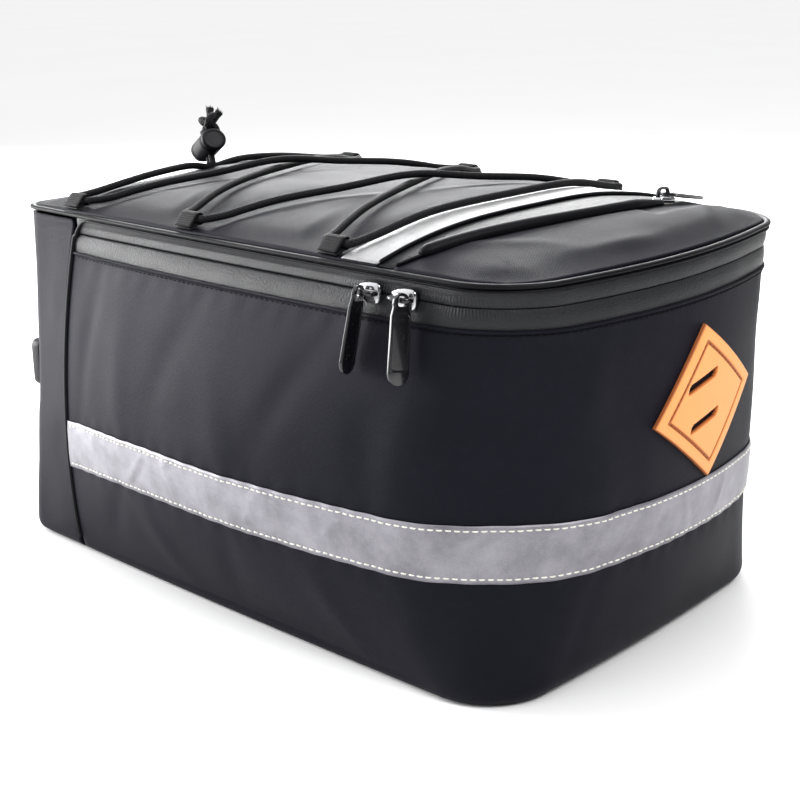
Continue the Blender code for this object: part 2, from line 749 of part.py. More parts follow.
def cord_lock():
    frame = lock_frame()
    closed_end = -0.5 * LOCK_LENGTH - LOCK_WALL
    mouth = closed_end + LOCK_LENGTH
    round_off = LOCK_ROUNDING
    barrel = turned(
        "cord_lock_barrel",
        [
            (mouth, 0), (mouth, LOCK_RADIUS - round_off), (mouth - round_off, LOCK_RADIUS),
            (closed_end + round_off, LOCK_RADIUS), (closed_end, LOCK_RADIUS - round_off), (closed_end, 0),
        ],
    )
    bore_radius = PLUNGER_RADIUS + GAP
    bore_end, past_mouth = closed_end + LOCK_WALL, mouth + LOCK_RADIUS
    bore_line = [(past_mouth, 0), (past_mouth, bore_radius), (bore_end, bore_radius), (bore_end, 0)]
    barrel = combine(barrel, turned("bore", bore_line), "DIFFERENCE")
    slot_half = 2 * CORD_RADIUS + 1.5 * GAP
    slot_width = 2 * (CORD_RADIUS + 1.5 * GAP)
    slot = block("slot", (2 * slot_half, slot_width, 3 * LOCK_RADIUS))
    barrel = combine(barrel, slot, "DIFFERENCE")
    barrel.matrix_world = frame
    finish(barrel, PLASTIC, 0.4)
    inner = -slot_half - PLUNGER_FOOT
    outer = mouth + PLUNGER_TRAVEL + PLUNGER_STAND
    plunger = turned(
        "cord_lock_plunger",
        [
            (outer, 0), (outer, PLUNGER_RADIUS - round_off), (outer - round_off, PLUNGER_RADIUS),
            (inner, PLUNGER_RADIUS), (inner, 0),
        ],
    )
    slot_size = (2 * slot_half + PLUNGER_TRAVEL, slot_width, 3 * LOCK_RADIUS)
    slot = block("slot", slot_size, (0.5 * PLUNGER_TRAVEL, 0, 0))
    plunger = combine(plunger, slot, "DIFFERENCE")
    plunger.matrix_world = frame
    finish(plunger, PLASTIC, 0.4)


def cord_knot():
    """A lumpy ball above the lock with the cord's two cut ends standing out of it."""
    frame = lock_frame()
    middle = frame @ (Vector((0, 0, LOCK_RADIUS + 2 * GAP + KNOT_RADIUS)) + KNOT_SHIFT)
    knot = bpy.data.meshes.new("cord_knot")
    shape = bmesh.new()
    bmesh.ops.create_uvsphere(shape, u_segments=16, v_segments=10, radius=KNOT_RADIUS)
    for vert in shape.verts:
        angle = math.atan2(vert.co.y, vert.co.x)
        vert.co.x *= 1.15 + 0.10 * math.cos(2 * angle + 6 * vert.co.z / KNOT_RADIUS)
        vert.co.y *= 1.00 + 0.10 * math.sin(2 * angle + 6 * vert.co.z / KNOT_RADIUS)
    shape.to_mesh(knot)
    shape.free()
    obj = bpy.data.objects.new("cord_knot", knot)
    obj.matrix_world = Matrix.Translation(middle) @ frame.to_3x3().to_4x4()
    for tip in KNOT_ENDS:
        end = tube("end", [middle, middle + 0.6 * tip, middle + tip], CORD_RADIUS)
        obj = combine(obj, as_mesh(end), "UNION")
    return finish(obj, WEBBING, 0.8)


# Zip sliders and pulls


def slider_mesh():
    """A slider in its own frame: x along the zip, z outward, its base at z = 0."""
    body = block("slider", (SLIDER_LENGTH, SLIDER_WIDTH, SLIDER_HEIGHT), (0, 0, 0.5 * SLIDER_HEIGHT))
    bevel = body.modifiers.new("rounded", "BEVEL")
    bevel.width = SLIDER_ROUNDING
    bevel.segments = 2
    body = as_mesh(body)
    half, foot, top = 0.5 * BAIL_LENGTH, 0.5 * SLIDER_HEIGHT, SLIDER_HEIGHT + BAIL_RISE
    near_leg = [(-half, 0, foot), (-half, 0, top - BAIL_BEND), (BAIL_BEND - half, 0, top)]
    bail = tube("bail", near_leg + [(-x, y, z) for x, y, z in reversed(near_leg)], BAIL_RADIUS)
    return combine(body, as_mesh(bail), "UNION").data


def pull_mesh(eye):
    """A pull in its own frame, with its tongue along -y and its eye's middle at the given y."""
    half, head = 0.5 * PULL_WIDTH, 0.5 * PULL_HEAD
    shoulder, tip = eye - 2.4 * head, eye - PULL_LENGTH + head + half
    around = circle(0, eye, head, 9, math.radians(-30), math.radians(210))
    around += [(-0.92 * half, shoulder)]
    around += circle(0, tip, half, 9, math.radians(180), math.radians(360))
    around += [(0.92 * half, shoulder)]
    hole = circle(0, eye, PULL_HOLE_RADIUS, 12)
    return as_mesh(flat_outline("pull", [around, hole], PULL_THICKNESS)).data


def lid_sliders(slider):
    """Two sliders nose to nose on the near side, each pull hanging down from its bail."""
    pull = pull_mesh(-GAP)
    for row in LID_PULLS:
        turn = side_turn(row.x * 0.5 * LENGTH, ZIP_MIDDLE)
        origin = wall_point(turn, ZIP_MIDDLE, SLIDER_GAP)
        along = wall_point(turn + TURN_STEP, ZIP_MIDDLE) - wall_point(turn - TURN_STEP, ZIP_MIDDLE)
        up = wall_point(turn, HEIGHT) - wall_point(turn, ZIP_SEAM)
        frame = frame_at(origin, along, along.cross(up))
        obj = bpy.data.objects.new(f"lid_slider_{row.name}", slider)
        obj.matrix_world = frame
        finish(obj, METAL, 0.25, 0.9)
        bar = frame @ Vector((row.along, 0, SLIDER_HEIGHT + BAIL_RISE))
        lean = Matrix.Rotation(-row.lean, 3, frame.col[0].to_3d())
        hang = lean @ Matrix.Rotation(row.sway, 3, frame.col[2].to_3d())
        length_way = hang @ Vector((0, 0, -1))
        face_way = hang @ (Matrix.Rotation(row.turn, 3, "Z") @ frame.col[0].to_3d())
        obj = bpy.data.objects.new(f"lid_pull_{row.name}", pull)
        obj.matrix_world = frame_at(bar, (-length_way).cross(face_way), face_way)
        finish(obj, METAL, 0.3, 0.6)


def side_turn(x, z):
    """The step along the near side at which the wall passes x."""
    section = at_height(z / HEIGHT)
    _, rear, _ = plan_edges(section)
    seam = section.seam * LENGTH + SEAM_HALF
    return (x - seam) / (rear - section.corner * WIDTH - seam)


def pocket_slider(slider):
    """The pocket's slider at the far end of its zip, with its pull laid flat beyond it."""
    v = LIP_ENDS[1] + 0.075
    x, y = across_lid(LIP, v) - 0.5 * SLIDER_WIDTH, v * 0.5 * WIDTH
    along = lid_surface(x, y + MM) - lid_surface(x, y - MM)
    frame = frame_at(lid_point(x, y, 3 * GAP), along, lid_normal(x, y))
    obj = bpy.data.objects.new("pocket_slider", slider)
    obj.matrix_world = frame
    finish(obj, METAL, 0.25, 0.9)
    crossbar = 0.25 * (PULL_HEAD - 2 * PULL_HOLE_RADIUS)
    hinge = frame @ Vector((0.21 * BAIL_LENGTH, 0, SLIDER_HEIGHT + 0.5 * PULL_THICKNESS + 2 * GAP))
    laid = Matrix.Rotation(POCKET_PULL_TILT, 4, "Y") @ Matrix.Rotation(0.5 * math.pi, 4, "Z")
    obj = bpy.data.objects.new("pocket_pull", pull_mesh(-PULL_HOLE_RADIUS - crossbar))
    obj.matrix_world = Matrix.Translation(hinge) @ frame.to_3x3().to_4x4() @ laid
    finish(obj, METAL, 0.3, 0.6)


# Strap and buckle on the front face


def front_strap():
    half = 0.5 * STRAP_WIDTH

    def place(turn, z):
        return wall_point(turn, z, GAP)

    columns = [turn for turn in front_columns() if 8 <= turn <= 9]
    rows = spaced(STRAP_HEIGHT - half, STRAP_HEIGHT + half, 1)
    finish(sheet("front_strap", columns, rows, place, STRAP_WALL, outside=True), WEBBING, 0.8)


def rounded(x, y, length, width, radius, steps=4):
    points = []
    for i, (way_x, way_y) in enumerate(((1, 1), (-1, 1), (-1, -1), (1, -1))):
        middle = x + way_x * (0.5 * length - radius), y + way_y * (0.5 * width - radius)
        points += circle(*middle, radius, steps, 0.5 * math.pi * i, 0.5 * math.pi * (i + 1))
    return points


def front_buckle():
    """A side release buckle over the strap: a socket, and the plug that goes into it."""
    edges = (STRAP_HEIGHT - 0.5 * STRAP_WIDTH, STRAP_HEIGHT + 0.5 * STRAP_WIDTH)
    places = [wall_point(turn, z) for turn in front_columns() for z in edges]
    behind = BUCKLE_PLACE + 0.5 * SOCKET_LENGTH + 2 * PLUG_LENGTH
    face = min(place.x for place in places if place.y < behind)
    x = face - 2 * GAP - STRAP_WALL - 0.5 * BUCKLE_DEPTH
    for name, start, length, width in (
        ("buckle_socket", 0, SOCKET_LENGTH, BUCKLE_WIDTH),
        ("buckle_plug", SOCKET_LENGTH + GAP, PLUG_LENGTH, 0.86 * BUCKLE_WIDTH),
    ):
        around = rounded(0, 0, length, width, BUCKLE_CORNER)
        obj = as_mesh(flat_outline(name, [around], BUCKLE_DEPTH))
        bevel = obj.modifiers.new("rounded", "BEVEL")
        bevel.width = BUCKLE_ROUNDING
        bevel.segments = 2
        middle = Vector((x, BUCKLE_PLACE - 0.5 * SOCKET_LENGTH + start + 0.5 * length, STRAP_HEIGHT))
        obj.matrix_world = frame_at(middle, Vector((0, 1, 0)), Vector((-1, 0, 0)))
        finish(obj, PLASTIC, 0.4)


def main():
    clear_scene()
    for name in ("rear seat bag", "cutters"):
        bpy.context.scene.collection.children.link(bpy.data.collections.new(name))
    base_panel()
    side_wall()
    front_panel()
    front_seams()
    reflective_band()
    rubber_patch()
    lid_zip()
    lid_piping()
    lid()
    for side in (-1, 1):
        for loop in range(len(LOOPS)):
            cord_loop(side, loop)
    bungee_cord()
    cord_lock()
    cord_knot()
    slider = slider_mesh()
    lid_sliders(slider)
    pocket_slider(slider)
    front_strap()
    front_buckle()


main()
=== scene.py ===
"""A rear seat bag for a bicycle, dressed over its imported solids.

The bag is sewn from coated fabric: walls first, then the trim on them, the zip, the lid and what is laced on it.
"""

import json
import math
from collections import namedtuple

import bmesh
import bpy
from mathutils import Matrix, Vector, noise

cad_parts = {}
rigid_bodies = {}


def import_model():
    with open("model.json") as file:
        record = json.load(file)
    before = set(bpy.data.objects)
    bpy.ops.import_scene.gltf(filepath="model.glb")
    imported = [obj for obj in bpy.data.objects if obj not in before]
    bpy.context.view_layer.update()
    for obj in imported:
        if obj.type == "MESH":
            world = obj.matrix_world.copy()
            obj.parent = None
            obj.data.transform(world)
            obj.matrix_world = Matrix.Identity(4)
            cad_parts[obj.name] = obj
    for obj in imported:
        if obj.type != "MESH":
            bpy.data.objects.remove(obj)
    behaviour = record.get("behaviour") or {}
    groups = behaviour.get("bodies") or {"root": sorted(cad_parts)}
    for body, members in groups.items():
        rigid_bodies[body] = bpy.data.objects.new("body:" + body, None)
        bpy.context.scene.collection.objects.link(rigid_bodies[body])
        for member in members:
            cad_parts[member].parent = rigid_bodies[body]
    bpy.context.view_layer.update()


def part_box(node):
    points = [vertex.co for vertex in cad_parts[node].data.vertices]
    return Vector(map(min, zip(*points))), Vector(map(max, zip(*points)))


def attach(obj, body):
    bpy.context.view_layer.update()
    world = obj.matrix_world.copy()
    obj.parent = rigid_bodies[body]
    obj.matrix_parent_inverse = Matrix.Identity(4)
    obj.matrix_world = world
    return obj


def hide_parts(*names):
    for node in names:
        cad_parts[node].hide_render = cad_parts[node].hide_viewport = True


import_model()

# The form of the bag
# The same lofted form as the solids: a plan at the base, half way up and at the lid's edge, with parabolas between.
# Every sheet of cloth, seam and row of stitches below is set on it.

MM = 0.001
# Turns up to this one are on the side sheet, and those past it are on the front sheet
SIDE_ENDS = 5.5
LENGTH, WIDTH, HEIGHT, CROWN = 320 * MM, 209.4 * MM, 181.2 * MM, 12.5 * MM
BASE_EDGE, FRONT_CORNER = 8 * MM, 11 * MM
SEAM_HALF = 1.6 * MM
PIPING_RADIUS = 2.1 * MM
LID_INSET = PIPING_RADIUS + 0.3 * MM
LID_WALL = 2 * MM

Section = namedtuple("Section", "corner side_bulge rear_bulge front_bulge spread front_reach seam")
SECTIONS = (
    Section(0.157, -0.014, 0.012, 0.0, 0.024, 0.044, -0.392),
    Section(0.261, 0.100, 0.099, 0.030, 0.012, 0.003, -0.372),
    Section(0.127, -0.013, 0.068, 0.010, 0.0, -0.003, -0.356),
)


def at_height(share):
    weights = ((1 - share) * (1 - 2 * share), 4 * share * (1 - share), share * (2 * share - 1))
    return Section(*(sum(w * value for w, value in zip(weights, column)) for column in zip(*SECTIONS)))


def plan_edges(section):
    front, rear = -0.5 * LENGTH - section.front_reach * LENGTH, 0.5 * LENGTH + 0.18 * section.spread * WIDTH
    return front, rear, (0.5 + section.spread) * WIDTH


def bulged(x, y, section):
    front, rear, half_width = plan_edges(section)
    along = min(max((x - front) / (rear - front), 0), 1)
    across = min(abs(y) / half_width, 1)
    outward = section.side_bulge * WIDTH * math.sin(math.pi * along) * across
    arch = math.cos(0.5 * math.pi * across)
    x += section.rear_bulge * WIDTH * arch * max(2 * along - 1, 0)
    x -= section.front_bulge * WIDTH * arch * max(1 - 2 * along, 0)
    return x, y + math.copysign(outward, y)


def outline(turn, share):
    """The plan: turns 0 to 5 go from the near front seam round the rear, 6 to 11 back round the front."""
    section = at_height(share)
    front, rear, half_width = plan_edges(section)
    in_front = turn > SIDE_ENDS
    step = min(turn - 6, 11 - turn) if in_front else min(turn, 5 - turn)
    side = -1 if turn < 2.5 or turn > 8.5 else 1
    radius = FRONT_CORNER if in_front else section.corner * WIDTH
    end, way = (front, -1) if in_front else (rear, 1)
    seam = section.seam * LENGTH + way * SEAM_HALF
    angle = 0.5 * math.pi * (step - 1)
    if step < 1:
        x, y = seam + (end - way * radius - seam) * step, half_width
    elif step < 2:
        x, y = end - way * radius * (1 - math.sin(angle)), half_width - radius * (1 - math.cos(angle))
    else:
        x, y = end, (half_width - radius) * (1 - 2 * (step - 2))
    return bulged(x, side * y, section)


def wall_point(turn, z, out=0.0):
    share = max(z, 0) / HEIGHT
    low, high = (0, 5) if turn < SIDE_ENDS else (6, 11)
    before, after = outline(max(turn - 0.01, low), share), outline(min(turn + 0.01, high), share)
    x, y = outline(turn, share)
    facing = Vector((after[1] - before[1], before[0] - after[0], 0)).normalized()
    if z >= BASE_EDGE:
        return Vector((x, y, z)) + facing * out
    lean = math.acos(min(1 - z / BASE_EDGE, 1))
    normal = facing * math.sin(lean) - Vector((0, 0, math.cos(lean)))
    return Vector((x, y, z)) - facing * BASE_EDGE * (1 - math.sin(lean)) + normal * out


def spaced(start, end, steps):
    return [start + (end - start) * i / steps for i in range(steps + 1)]


def eased(value, start, end):
    """0 at start, 1 at end, and smooth between."""
    share = min(max((value - start) / (end - start), 0), 1)
    return share * share * (3 - 2 * share)


# Walls and base
# Polyester cloth with a matt rubbery coating: one sheet round both sides and the rear, turned under at the base, and a
# second round the front, sewn to the first at two piped seams. The base is the same cloth over a board.

TAPE_LOW, TAPE_HIGH, TAPE_DROP = 55.4 * MM, 80.8 * MM, 5 * MM
ZIP_SEAM, ZIP_MIDDLE = HEIGHT - 18 * MM, HEIGHT - 9 * MM
LID_EDGE = HEIGHT - PIPING_RADIUS - 0.3 * MM
WALL_THICKNESS = 1.6 * MM
PUCKER_PITCH, STRAP_Z = 13 * MM, 93 * MM
# A turn and a height with their reaches, for the wall under the patch and under the two pulls, where it stays smooth
SMOOTH_PLACES = ((2.6, 0.45, 116 * MM, 45 * MM), (0.99, 0.16, 150 * MM, 22 * MM))

Fold = namedtuple("Fold", "run z slant length width depth")


def folds(*rows):
    return [Fold(*row) for row in rows]


WALL_FOLDS = folds(
    (0.020, 0.120, 82, 0.040, 0.006, -0.0009), (0.052, 0.104, 97, 0.034, 0.008, 0.0008),
    (0.090, 0.128, 70, 0.030, 0.009, -0.0008), (0.130, 0.096, 110, 0.028, 0.010, 0.0009),
    (0.165, 0.122, 64, 0.032, 0.008, -0.0008), (0.215, 0.104, 100, 0.026, 0.009, -0.0010),
    (0.262, 0.112, 84, 0.040, 0.010, -0.0010), (0.285, 0.132, 62, 0.026, 0.007, 0.0008),
    (0.040, 0.036, 60, 0.020, 0.006, -0.0010), (0.075, 0.030, 120, 0.022, 0.007, 0.0009),
    (0.125, 0.034, 74, 0.022, 0.007, -0.0009), (0.185, 0.030, 108, 0.024, 0.008, 0.0009),
    (0.240, 0.036, 66, 0.024, 0.008, -0.0010), (0.290, 0.034, 96, 0.024, 0.008, -0.0008),
    (0.560, 0.110, 80, 0.040, 0.009, -0.0010), (0.640, 0.100, 104, 0.036, 0.009, 0.0009),
    (0.720, 0.118, 74, 0.036, 0.009, -0.0009), (0.600, 0.034, 66, 0.022, 0.007, -0.0009),
    (0.690, 0.032, 112, 0.024, 0.008, 0.0008),
)
RUNS = (0.0, 0.225, 0.290, 0.420, 0.485, 0.710)


def folded(table, run, z):
    """How far the folds of a table lift the cloth at a place, in metres."""
    rise = 0.0
    for fold in table:
        slant = math.radians(fold.slant)
        right, up = run - fold.run, z - fold.z
        along = right * math.cos(slant) + up * math.sin(slant)
        across = up * math.cos(slant) - right * math.sin(slant)
        far = (along / fold.length) ** 2 + (across / fold.width) ** 2
        if far < 9:
            rise += fold.depth * math.exp(-far)
    return rise


def run_of(turn):
    """Roughly how far round the side sheet a turn is, in metres."""
    if turn > SIDE_ENDS:
        return 0.8 + 0.06 * (turn - 6)
    whole = min(int(turn), 4)
    return RUNS[whole] + (RUNS[whole + 1] - RUNS[whole]) * (turn - whole)


def tape_drop(turn):
    return -TAPE_DROP * max(1 - 2.2 * min(turn, 5 - turn), 0) ** 2


def relief(turn, z):
    """How far the cloth swells or sinks at a place on the walls, in metres."""
    run = run_of(turn)
    soft = 1.1 * MM * noise.noise(Vector((run * 11, z * 14, 3.1)))
    soft += 0.45 * MM * noise.noise(Vector((run * 32, z * 38, 7.7)))
    if turn < SIDE_ENDS:
        soft += folded(WALL_FOLDS, run, z)
        drop = tape_drop(turn)
        wave = math.sin(2 * math.pi * run / PUCKER_PITCH + 2.5 * noise.noise(Vector((run * 20, 0, 1))))
        for seam, reach in ((TAPE_LOW + drop, 5 * MM), (TAPE_HIGH + drop, 5 * MM), (ZIP_SEAM - 2 * MM, 7 * MM)):
            soft += math.exp(-(((z - seam) / reach) ** 2)) * (0.22 * MM * wave - 0.35 * MM)
        calm = eased(min(turn, 5 - turn), 0, 0.05) * (1 - eased(z, ZIP_SEAM - 6 * MM, ZIP_SEAM))
        smooth = [max(abs(turn - at) / reach, abs(z - up) / tall) for at, reach, up, tall in SMOOTH_PLACES]
        calm *= eased(min(smooth), 0.8, 1.2)
    else:
        calm = eased(min(turn - 6, 11 - turn), 0, 0.5) * (1 - eased(z, LID_EDGE - 14 * MM, LID_EDGE))
        calm *= eased(abs(z - STRAP_Z), 12 * MM, 22 * MM)
    return soft * calm * eased(z, 0, 14 * MM)


def wall_skin(turn, z, out=0.0):
    return wall_point(turn, z, out + relief(turn, z))


def mark_cloth(mesh, marks, domain="POINT"):
    """The attribute cloth: metres across and along a sheet, or along and round a tube; on the patch, how deep a point
    sits in the sunk line, for the painted shade there.
    """
    cloth = mesh.attributes.new("cloth", "FLOAT_VECTOR", domain)
    cloth.data.foreach_set("vector", [part for mark in marks for part in mark])


def from_lists(name, verts, faces, marks=None, domain="POINT"):
    mesh = bpy.data.meshes.new(name)
    mesh.from_pydata(verts, [], faces)
    if marks:
        mark_cloth(mesh, marks, domain)
    mesh.shade_smooth()
    return bpy.data.objects.new(name, mesh)


def from_shape(name, shape, sharp=None):
    """A mesh from a bmesh: flat, or else smooth but for the edges that turn by more than sharp degrees."""
    mesh = bpy.data.meshes.new(name)
    shape.to_mesh(mesh)
    shape.free()
    if sharp:
        mesh.shade_smooth()
        mesh.set_sharp_from_angle(angle=math.radians(sharp))
    return mesh


def cloth_grid(name, columns, rows, place, thickness=0.0, outside=False):
    """A sheet of cloth on its outer face, with the attribute cloth: metres across and up it."""
    across, up = len(columns), len(rows)
    verts = [place(column, row) for row in rows for column in columns]
    faces = [
        (i + across * j, i + 1 + across * j, i + 1 + across * (j + 1), i + across * (j + 1))
        for j in range(up - 1)
        for i in range(across - 1)
    ]
    middle = Vector((0, 0, 0.5 * HEIGHT))
    a, b, _, d = (verts[k] for k in faces[len(faces) // 2])
    if (b - a).cross(d - a).dot(a - middle) < 0:
        faces = [tuple(reversed(face)) for face in faces]
    right, top = [0.0], [0.0]
    for i in range(1, across):
        at = across * (up // 2) + i
        right.append(right[-1] + (verts[at] - verts[at - 1]).length)
    for j in range(1, up):
        at = across * j + across // 2
        top.append(top[-1] + (verts[at] - verts[at - across]).length)
    obj = from_lists(name, verts, faces, [(right[i], top[j], 0) for j in range(up) for i in range(across)])
    if thickness:
        solid = obj.modifiers.new("thickness", "SOLIDIFY")
        solid.thickness = thickness
        solid.offset = 1 if outside else -1
    return obj


class Shade:
    """A socket in a finish: sums and products written with it add Math nodes."""

    def __init__(self, finish, socket):
        self.finish, self.socket = finish, socket

    def math(self, operation, *values):
        return self.finish.node("ShaderNodeMath", {"operation": operation}, dict(enumerate(values)))

    def __add__(self, other):
        return self.math("ADD", self, other)

    def __radd__(self, other):
        return self.math("ADD", other, self)

    def __sub__(self, other):
        return self.math("SUBTRACT", self, other)

    def __rsub__(self, other):
        return self.math("SUBTRACT", other, self)

    def __mul__(self, other):
        return self.math("MULTIPLY", self, other)

    def __rmul__(self, other):
        return self.math("MULTIPLY", other, self)

    def sine(self):
        return self.math("SINE", self)

    def most(self, other):
        return self.math("MAXIMUM", self, other)

    def between(self, low, high):
        """0 at low, 1 at high, and smooth between."""
        ramp = {"interpolation_type": "SMOOTHSTEP"}
        return self.finish.node("ShaderNodeMapRange", ramp, {"Value": self, "From Min": low, "From Max": high})


class Finish:
    """A material, whose nodes are made by one method."""

    def __init__(self, name, roughness=0.5, **sockets):
        self.material = bpy.data.materials.new(name)
        self.material.use_nodes = True
        self.tree = self.material.node_tree
        self.shader = self.tree.nodes["Principled BSDF"]
        self.shader.inputs["Roughness"].default_value = roughness
        for label, value in sockets.items():
            self.shader.inputs[label.replace("_", " ")].default_value = value

    def node(self, kind, settings=None, inputs=None, out=0):
        made = self.tree.nodes.new(kind)
        for label, value in (settings or {}).items():
            setattr(made, label, value)
        for label, value in (inputs or {}).items():
            if isinstance(value, Shade):
                self.tree.links.new(value.socket, made.inputs[label])
            else:
                made.inputs[label].default_value = value
        return Shade(self, made.outputs[out])

    def cloth(self):
        """Metres across and along the cloth, and the two as one vector."""
        place = self.node("ShaderNodeAttribute", {"attribute_name": "cloth"}, out="Vector")
        apart = self.node("ShaderNodeSeparateXYZ", inputs={0: place}).socket.node.outputs
        return Shade(self, apart[0]), Shade(self, apart[1]), place

    def here(self):
        return self.node("ShaderNodeTexCoord", out="Object")

    def grain(self, place, per_metre, detail=3.0, roughness=0.5):
        noisy = {"Vector": place, "Scale": per_metre, "Detail": detail, "Roughness": roughness}
        return self.node("ShaderNodeTexNoise", {}, noisy)

    def mixed(self, share, first, second):
        """A colour between two colours."""
        sockets = {0: share, 6: first, 7: second}
        return self.node("ShaderNodeMix", {"data_type": "RGBA"}, sockets, out=2)

    def put(self, label, value):
        self.tree.links.new(value.socket, self.shader.inputs[label])

    def done(self, colour, roughness, height, depth, strength):
        """The material, with its colour, its roughness and a bump of a depth in metres."""
        self.put("Base Color", colour)
        self.put("Roughness", roughness)
        sockets = {"Height": height, "Distance": depth, "Strength": strength}
        self.put("Normal", self.node("ShaderNodeBump", {}, sockets, out="Normal"))
        return self.material


def rgb(red, green, blue):
    return (red, green, blue, 1.0)


def coated_cloth():
    finish = Finish("coated_cloth", 0.5, Specular_IOR_Level=0.09, Specular_Tint=rgb(0.80, 0.80, 1))
    across, along, place = finish.cloth()
    pitch = 2 * math.pi / (0.75 * MM)
    weave = (across * pitch).sine() * (along * pitch).sine()
    pebble = finish.grain(place, 900, 2)
    cloud = finish.grain(place, 22, 4, 0.6)
    rubbed = finish.grain(place, 160, 3, 0.6).between(0.52, 0.78)
    tone = cloud * 0.7 + rubbed * 0.3
    colour = finish.mixed(tone, rgb(0.0042, 0.0042, 0.0072), rgb(0.0098, 0.0098, 0.0150))
    shine, height = 0.42 + 0.12 * cloud + 0.08 * pebble, weave * 0.35 + pebble * 0.9 + cloud * 0.6
    return finish.done(colour, shine, height, 0.20 * MM, 0.6)


CLOTH = coated_cloth()


def put(obj, material, slot, *replaced, body="bag"):
    """Links a finished piece, hangs it on the body it rides on and hides the solids it stands for."""
    bpy.context.scene.collection.objects.link(obj)
    obj.data.materials.clear()
    obj.data.materials.append(material)
    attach(obj, body)
    if replaced:
        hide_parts(*replaced)
    return obj


def side_columns(step=2.8 * MM):
    columns = []
    for i in range(5):
        count = max(2, round((RUNS[i + 1] - RUNS[i]) / step))
        columns += spaced(i, i + 1, count)[:-1]
    return columns + [5.0]


def front_columns():
    half = spaced(6, 7, 16) + spaced(7, 8, 8)[1:]
    return half + spaced(8, 9, 60)[1:-1] + [17 - turn for turn in reversed(half)]


def turned_under():
    return [BASE_EDGE * (1 - math.cos(0.5 * math.pi * i / 6)) for i in range(7)]


rows = turned_under() + spaced(BASE_EDGE, ZIP_SEAM, 56)[1:]
put(cloth_grid("side_cloth", side_columns(), rows, wall_skin, WALL_THICKNESS), CLOTH, "coated_fabric", "side_wall")
rows = turned_under() + spaced(BASE_EDGE, LID_EDGE, 58)[1:]
put(cloth_grid("front_cloth", front_columns(), rows, wall_skin, WALL_THICKNESS), CLOTH, "coated_fabric", "front_panel")


def base_board():
    """The base, a little puffed between its edge and its middle."""
    shape = bmesh.new()
    rim = []
    for turn in side_columns(8 * MM) + front_columns()[::4]:
        edge, under = wall_point(turn, BASE_EDGE), wall_point(turn, 0)
        rim.append(under + ((under - edge) * Vector((1, 1, 0))).normalized() * 1.1 * MM)
    rings = []
    for share, lift in ((1, 0.9), (0.995, 0.3), (0.98, 0), (0.93, 0), (0.7, 0.1), (0.35, 0.1)):
        rings.append([shape.verts.new(Vector((p.x * share, p.y * share, 0.2 * MM + lift * MM))) for p in rim])
    for ring, inner in zip(rings, rings[1:]):
        for i in range(len(rim)):
            j = (i + 1) % len(rim)
            shape.faces.new((ring[i], ring[j], inner[j], inner[i]))
    shape.faces.new(rings[-1])
    top = [shape.verts.new(v.co + Vector((0, 0, 1.2 * MM))) for v in rings[0]]
    for i in range(len(rim)):
        j = (i + 1) % len(rim)
        shape.faces.new((top[i], top[j], rings[0][j], rings[0][i]))
    shape.faces.new(list(reversed(top)))
    bmesh.ops.recalc_face_normals(shape, faces=shape.faces)
    mesh = from_shape("base_cloth", shape)
    mesh.shade_smooth()
    mark_cloth(mesh, [v.co for v in mesh.vertices])
    return bpy.data.objects.new("base_cloth", mesh)


put(base_board(), CLOTH, "coated_fabric", "base_panel")

# Front seams
# Black cord bound in cloth, sewn into both seams of the front face so that half of it stands out. It bends in over the
# zip at the top.


def tube(name, points, radius, sides=12, closed=False, radii=None, capped=True):
    """A round tube along points, with the attribute cloth: metres along it, and the angle round it."""
    count = len(points)
    tangents = []
    for i in range(count):
        before = points[i - 1] if i or closed else points[0]
        after = points[(i + 1) % count] if i < count - 1 or closed else points[-1]
        tangents.append((after - before).normalized())
    across = tangents[0].orthogonal().normalized()
    verts, along, length = [], [], 0.0
    for i, (point, tangent) in enumerate(zip(points, tangents)):
        across = (across - tangent * across.dot(tangent)).normalized()
        up = tangent.cross(across)
        if i:
            length += (point - points[i - 1]).length
        along.append(length)
        r = radius * (radii[i] if radii else 1)
        for k in range(sides):
            angle = 2 * math.pi * k / sides
            verts.append(point + across * (r * math.cos(angle)) + up * (r * math.sin(angle)))
    faces, marks = [], []
    for i in range(count if closed else count - 1):
        j = (i + 1) % count
        end = along[j] if j else length + (points[0] - points[-1]).length
        for k in range(sides):
            m = (k + 1) % sides
            faces.append((i * sides + k, i * sides + m, j * sides + m, j * sides + k))
            low, high = 2 * math.pi * k / sides, 2 * math.pi * (k + 1) / sides
            marks += [(along[i], low, 0), (along[i], high, 0), (end, high, 0), (end, low, 0)]
    if capped and not closed:
        for ring, flip in ((0, True), (count - 1, False)):
            face = [ring * sides + k for k in range(sides)]
            faces.append(tuple(reversed(face)) if flip else tuple(face))
            marks += [(along[ring], 0, 0)] * sides
    return from_lists(name, verts, faces, marks, "CORNER")


def bound_cord():
    """Black binding: fine ribs along the cloth, with a soft shine."""
    finish = Finish("bound_cord", 0.42, Specular_IOR_Level=0.09)
    along, around, _ = finish.cloth()
    ribs = (along * (2 * math.pi / (0.8 * MM)) + around).sine()
    cloud = finish.grain(finish.here(), 60, 3)
    colour = finish.mixed(cloud, rgb(0.002, 0.002, 0.003), rgb(0.007, 0.007, 0.009))
    return finish.done(colour, 0.34 + 0.16 * cloud, ribs * 0.5 + cloud, 0.08 * MM, 0.5)


BINDING = bound_cord()
SEAM_RADIUS = 1.3 * MM

WELT_Z, WELT_BEND, WELT_RADIUS = HEIGHT - 1.7 * MM, 9 * MM, 0.6 * MM


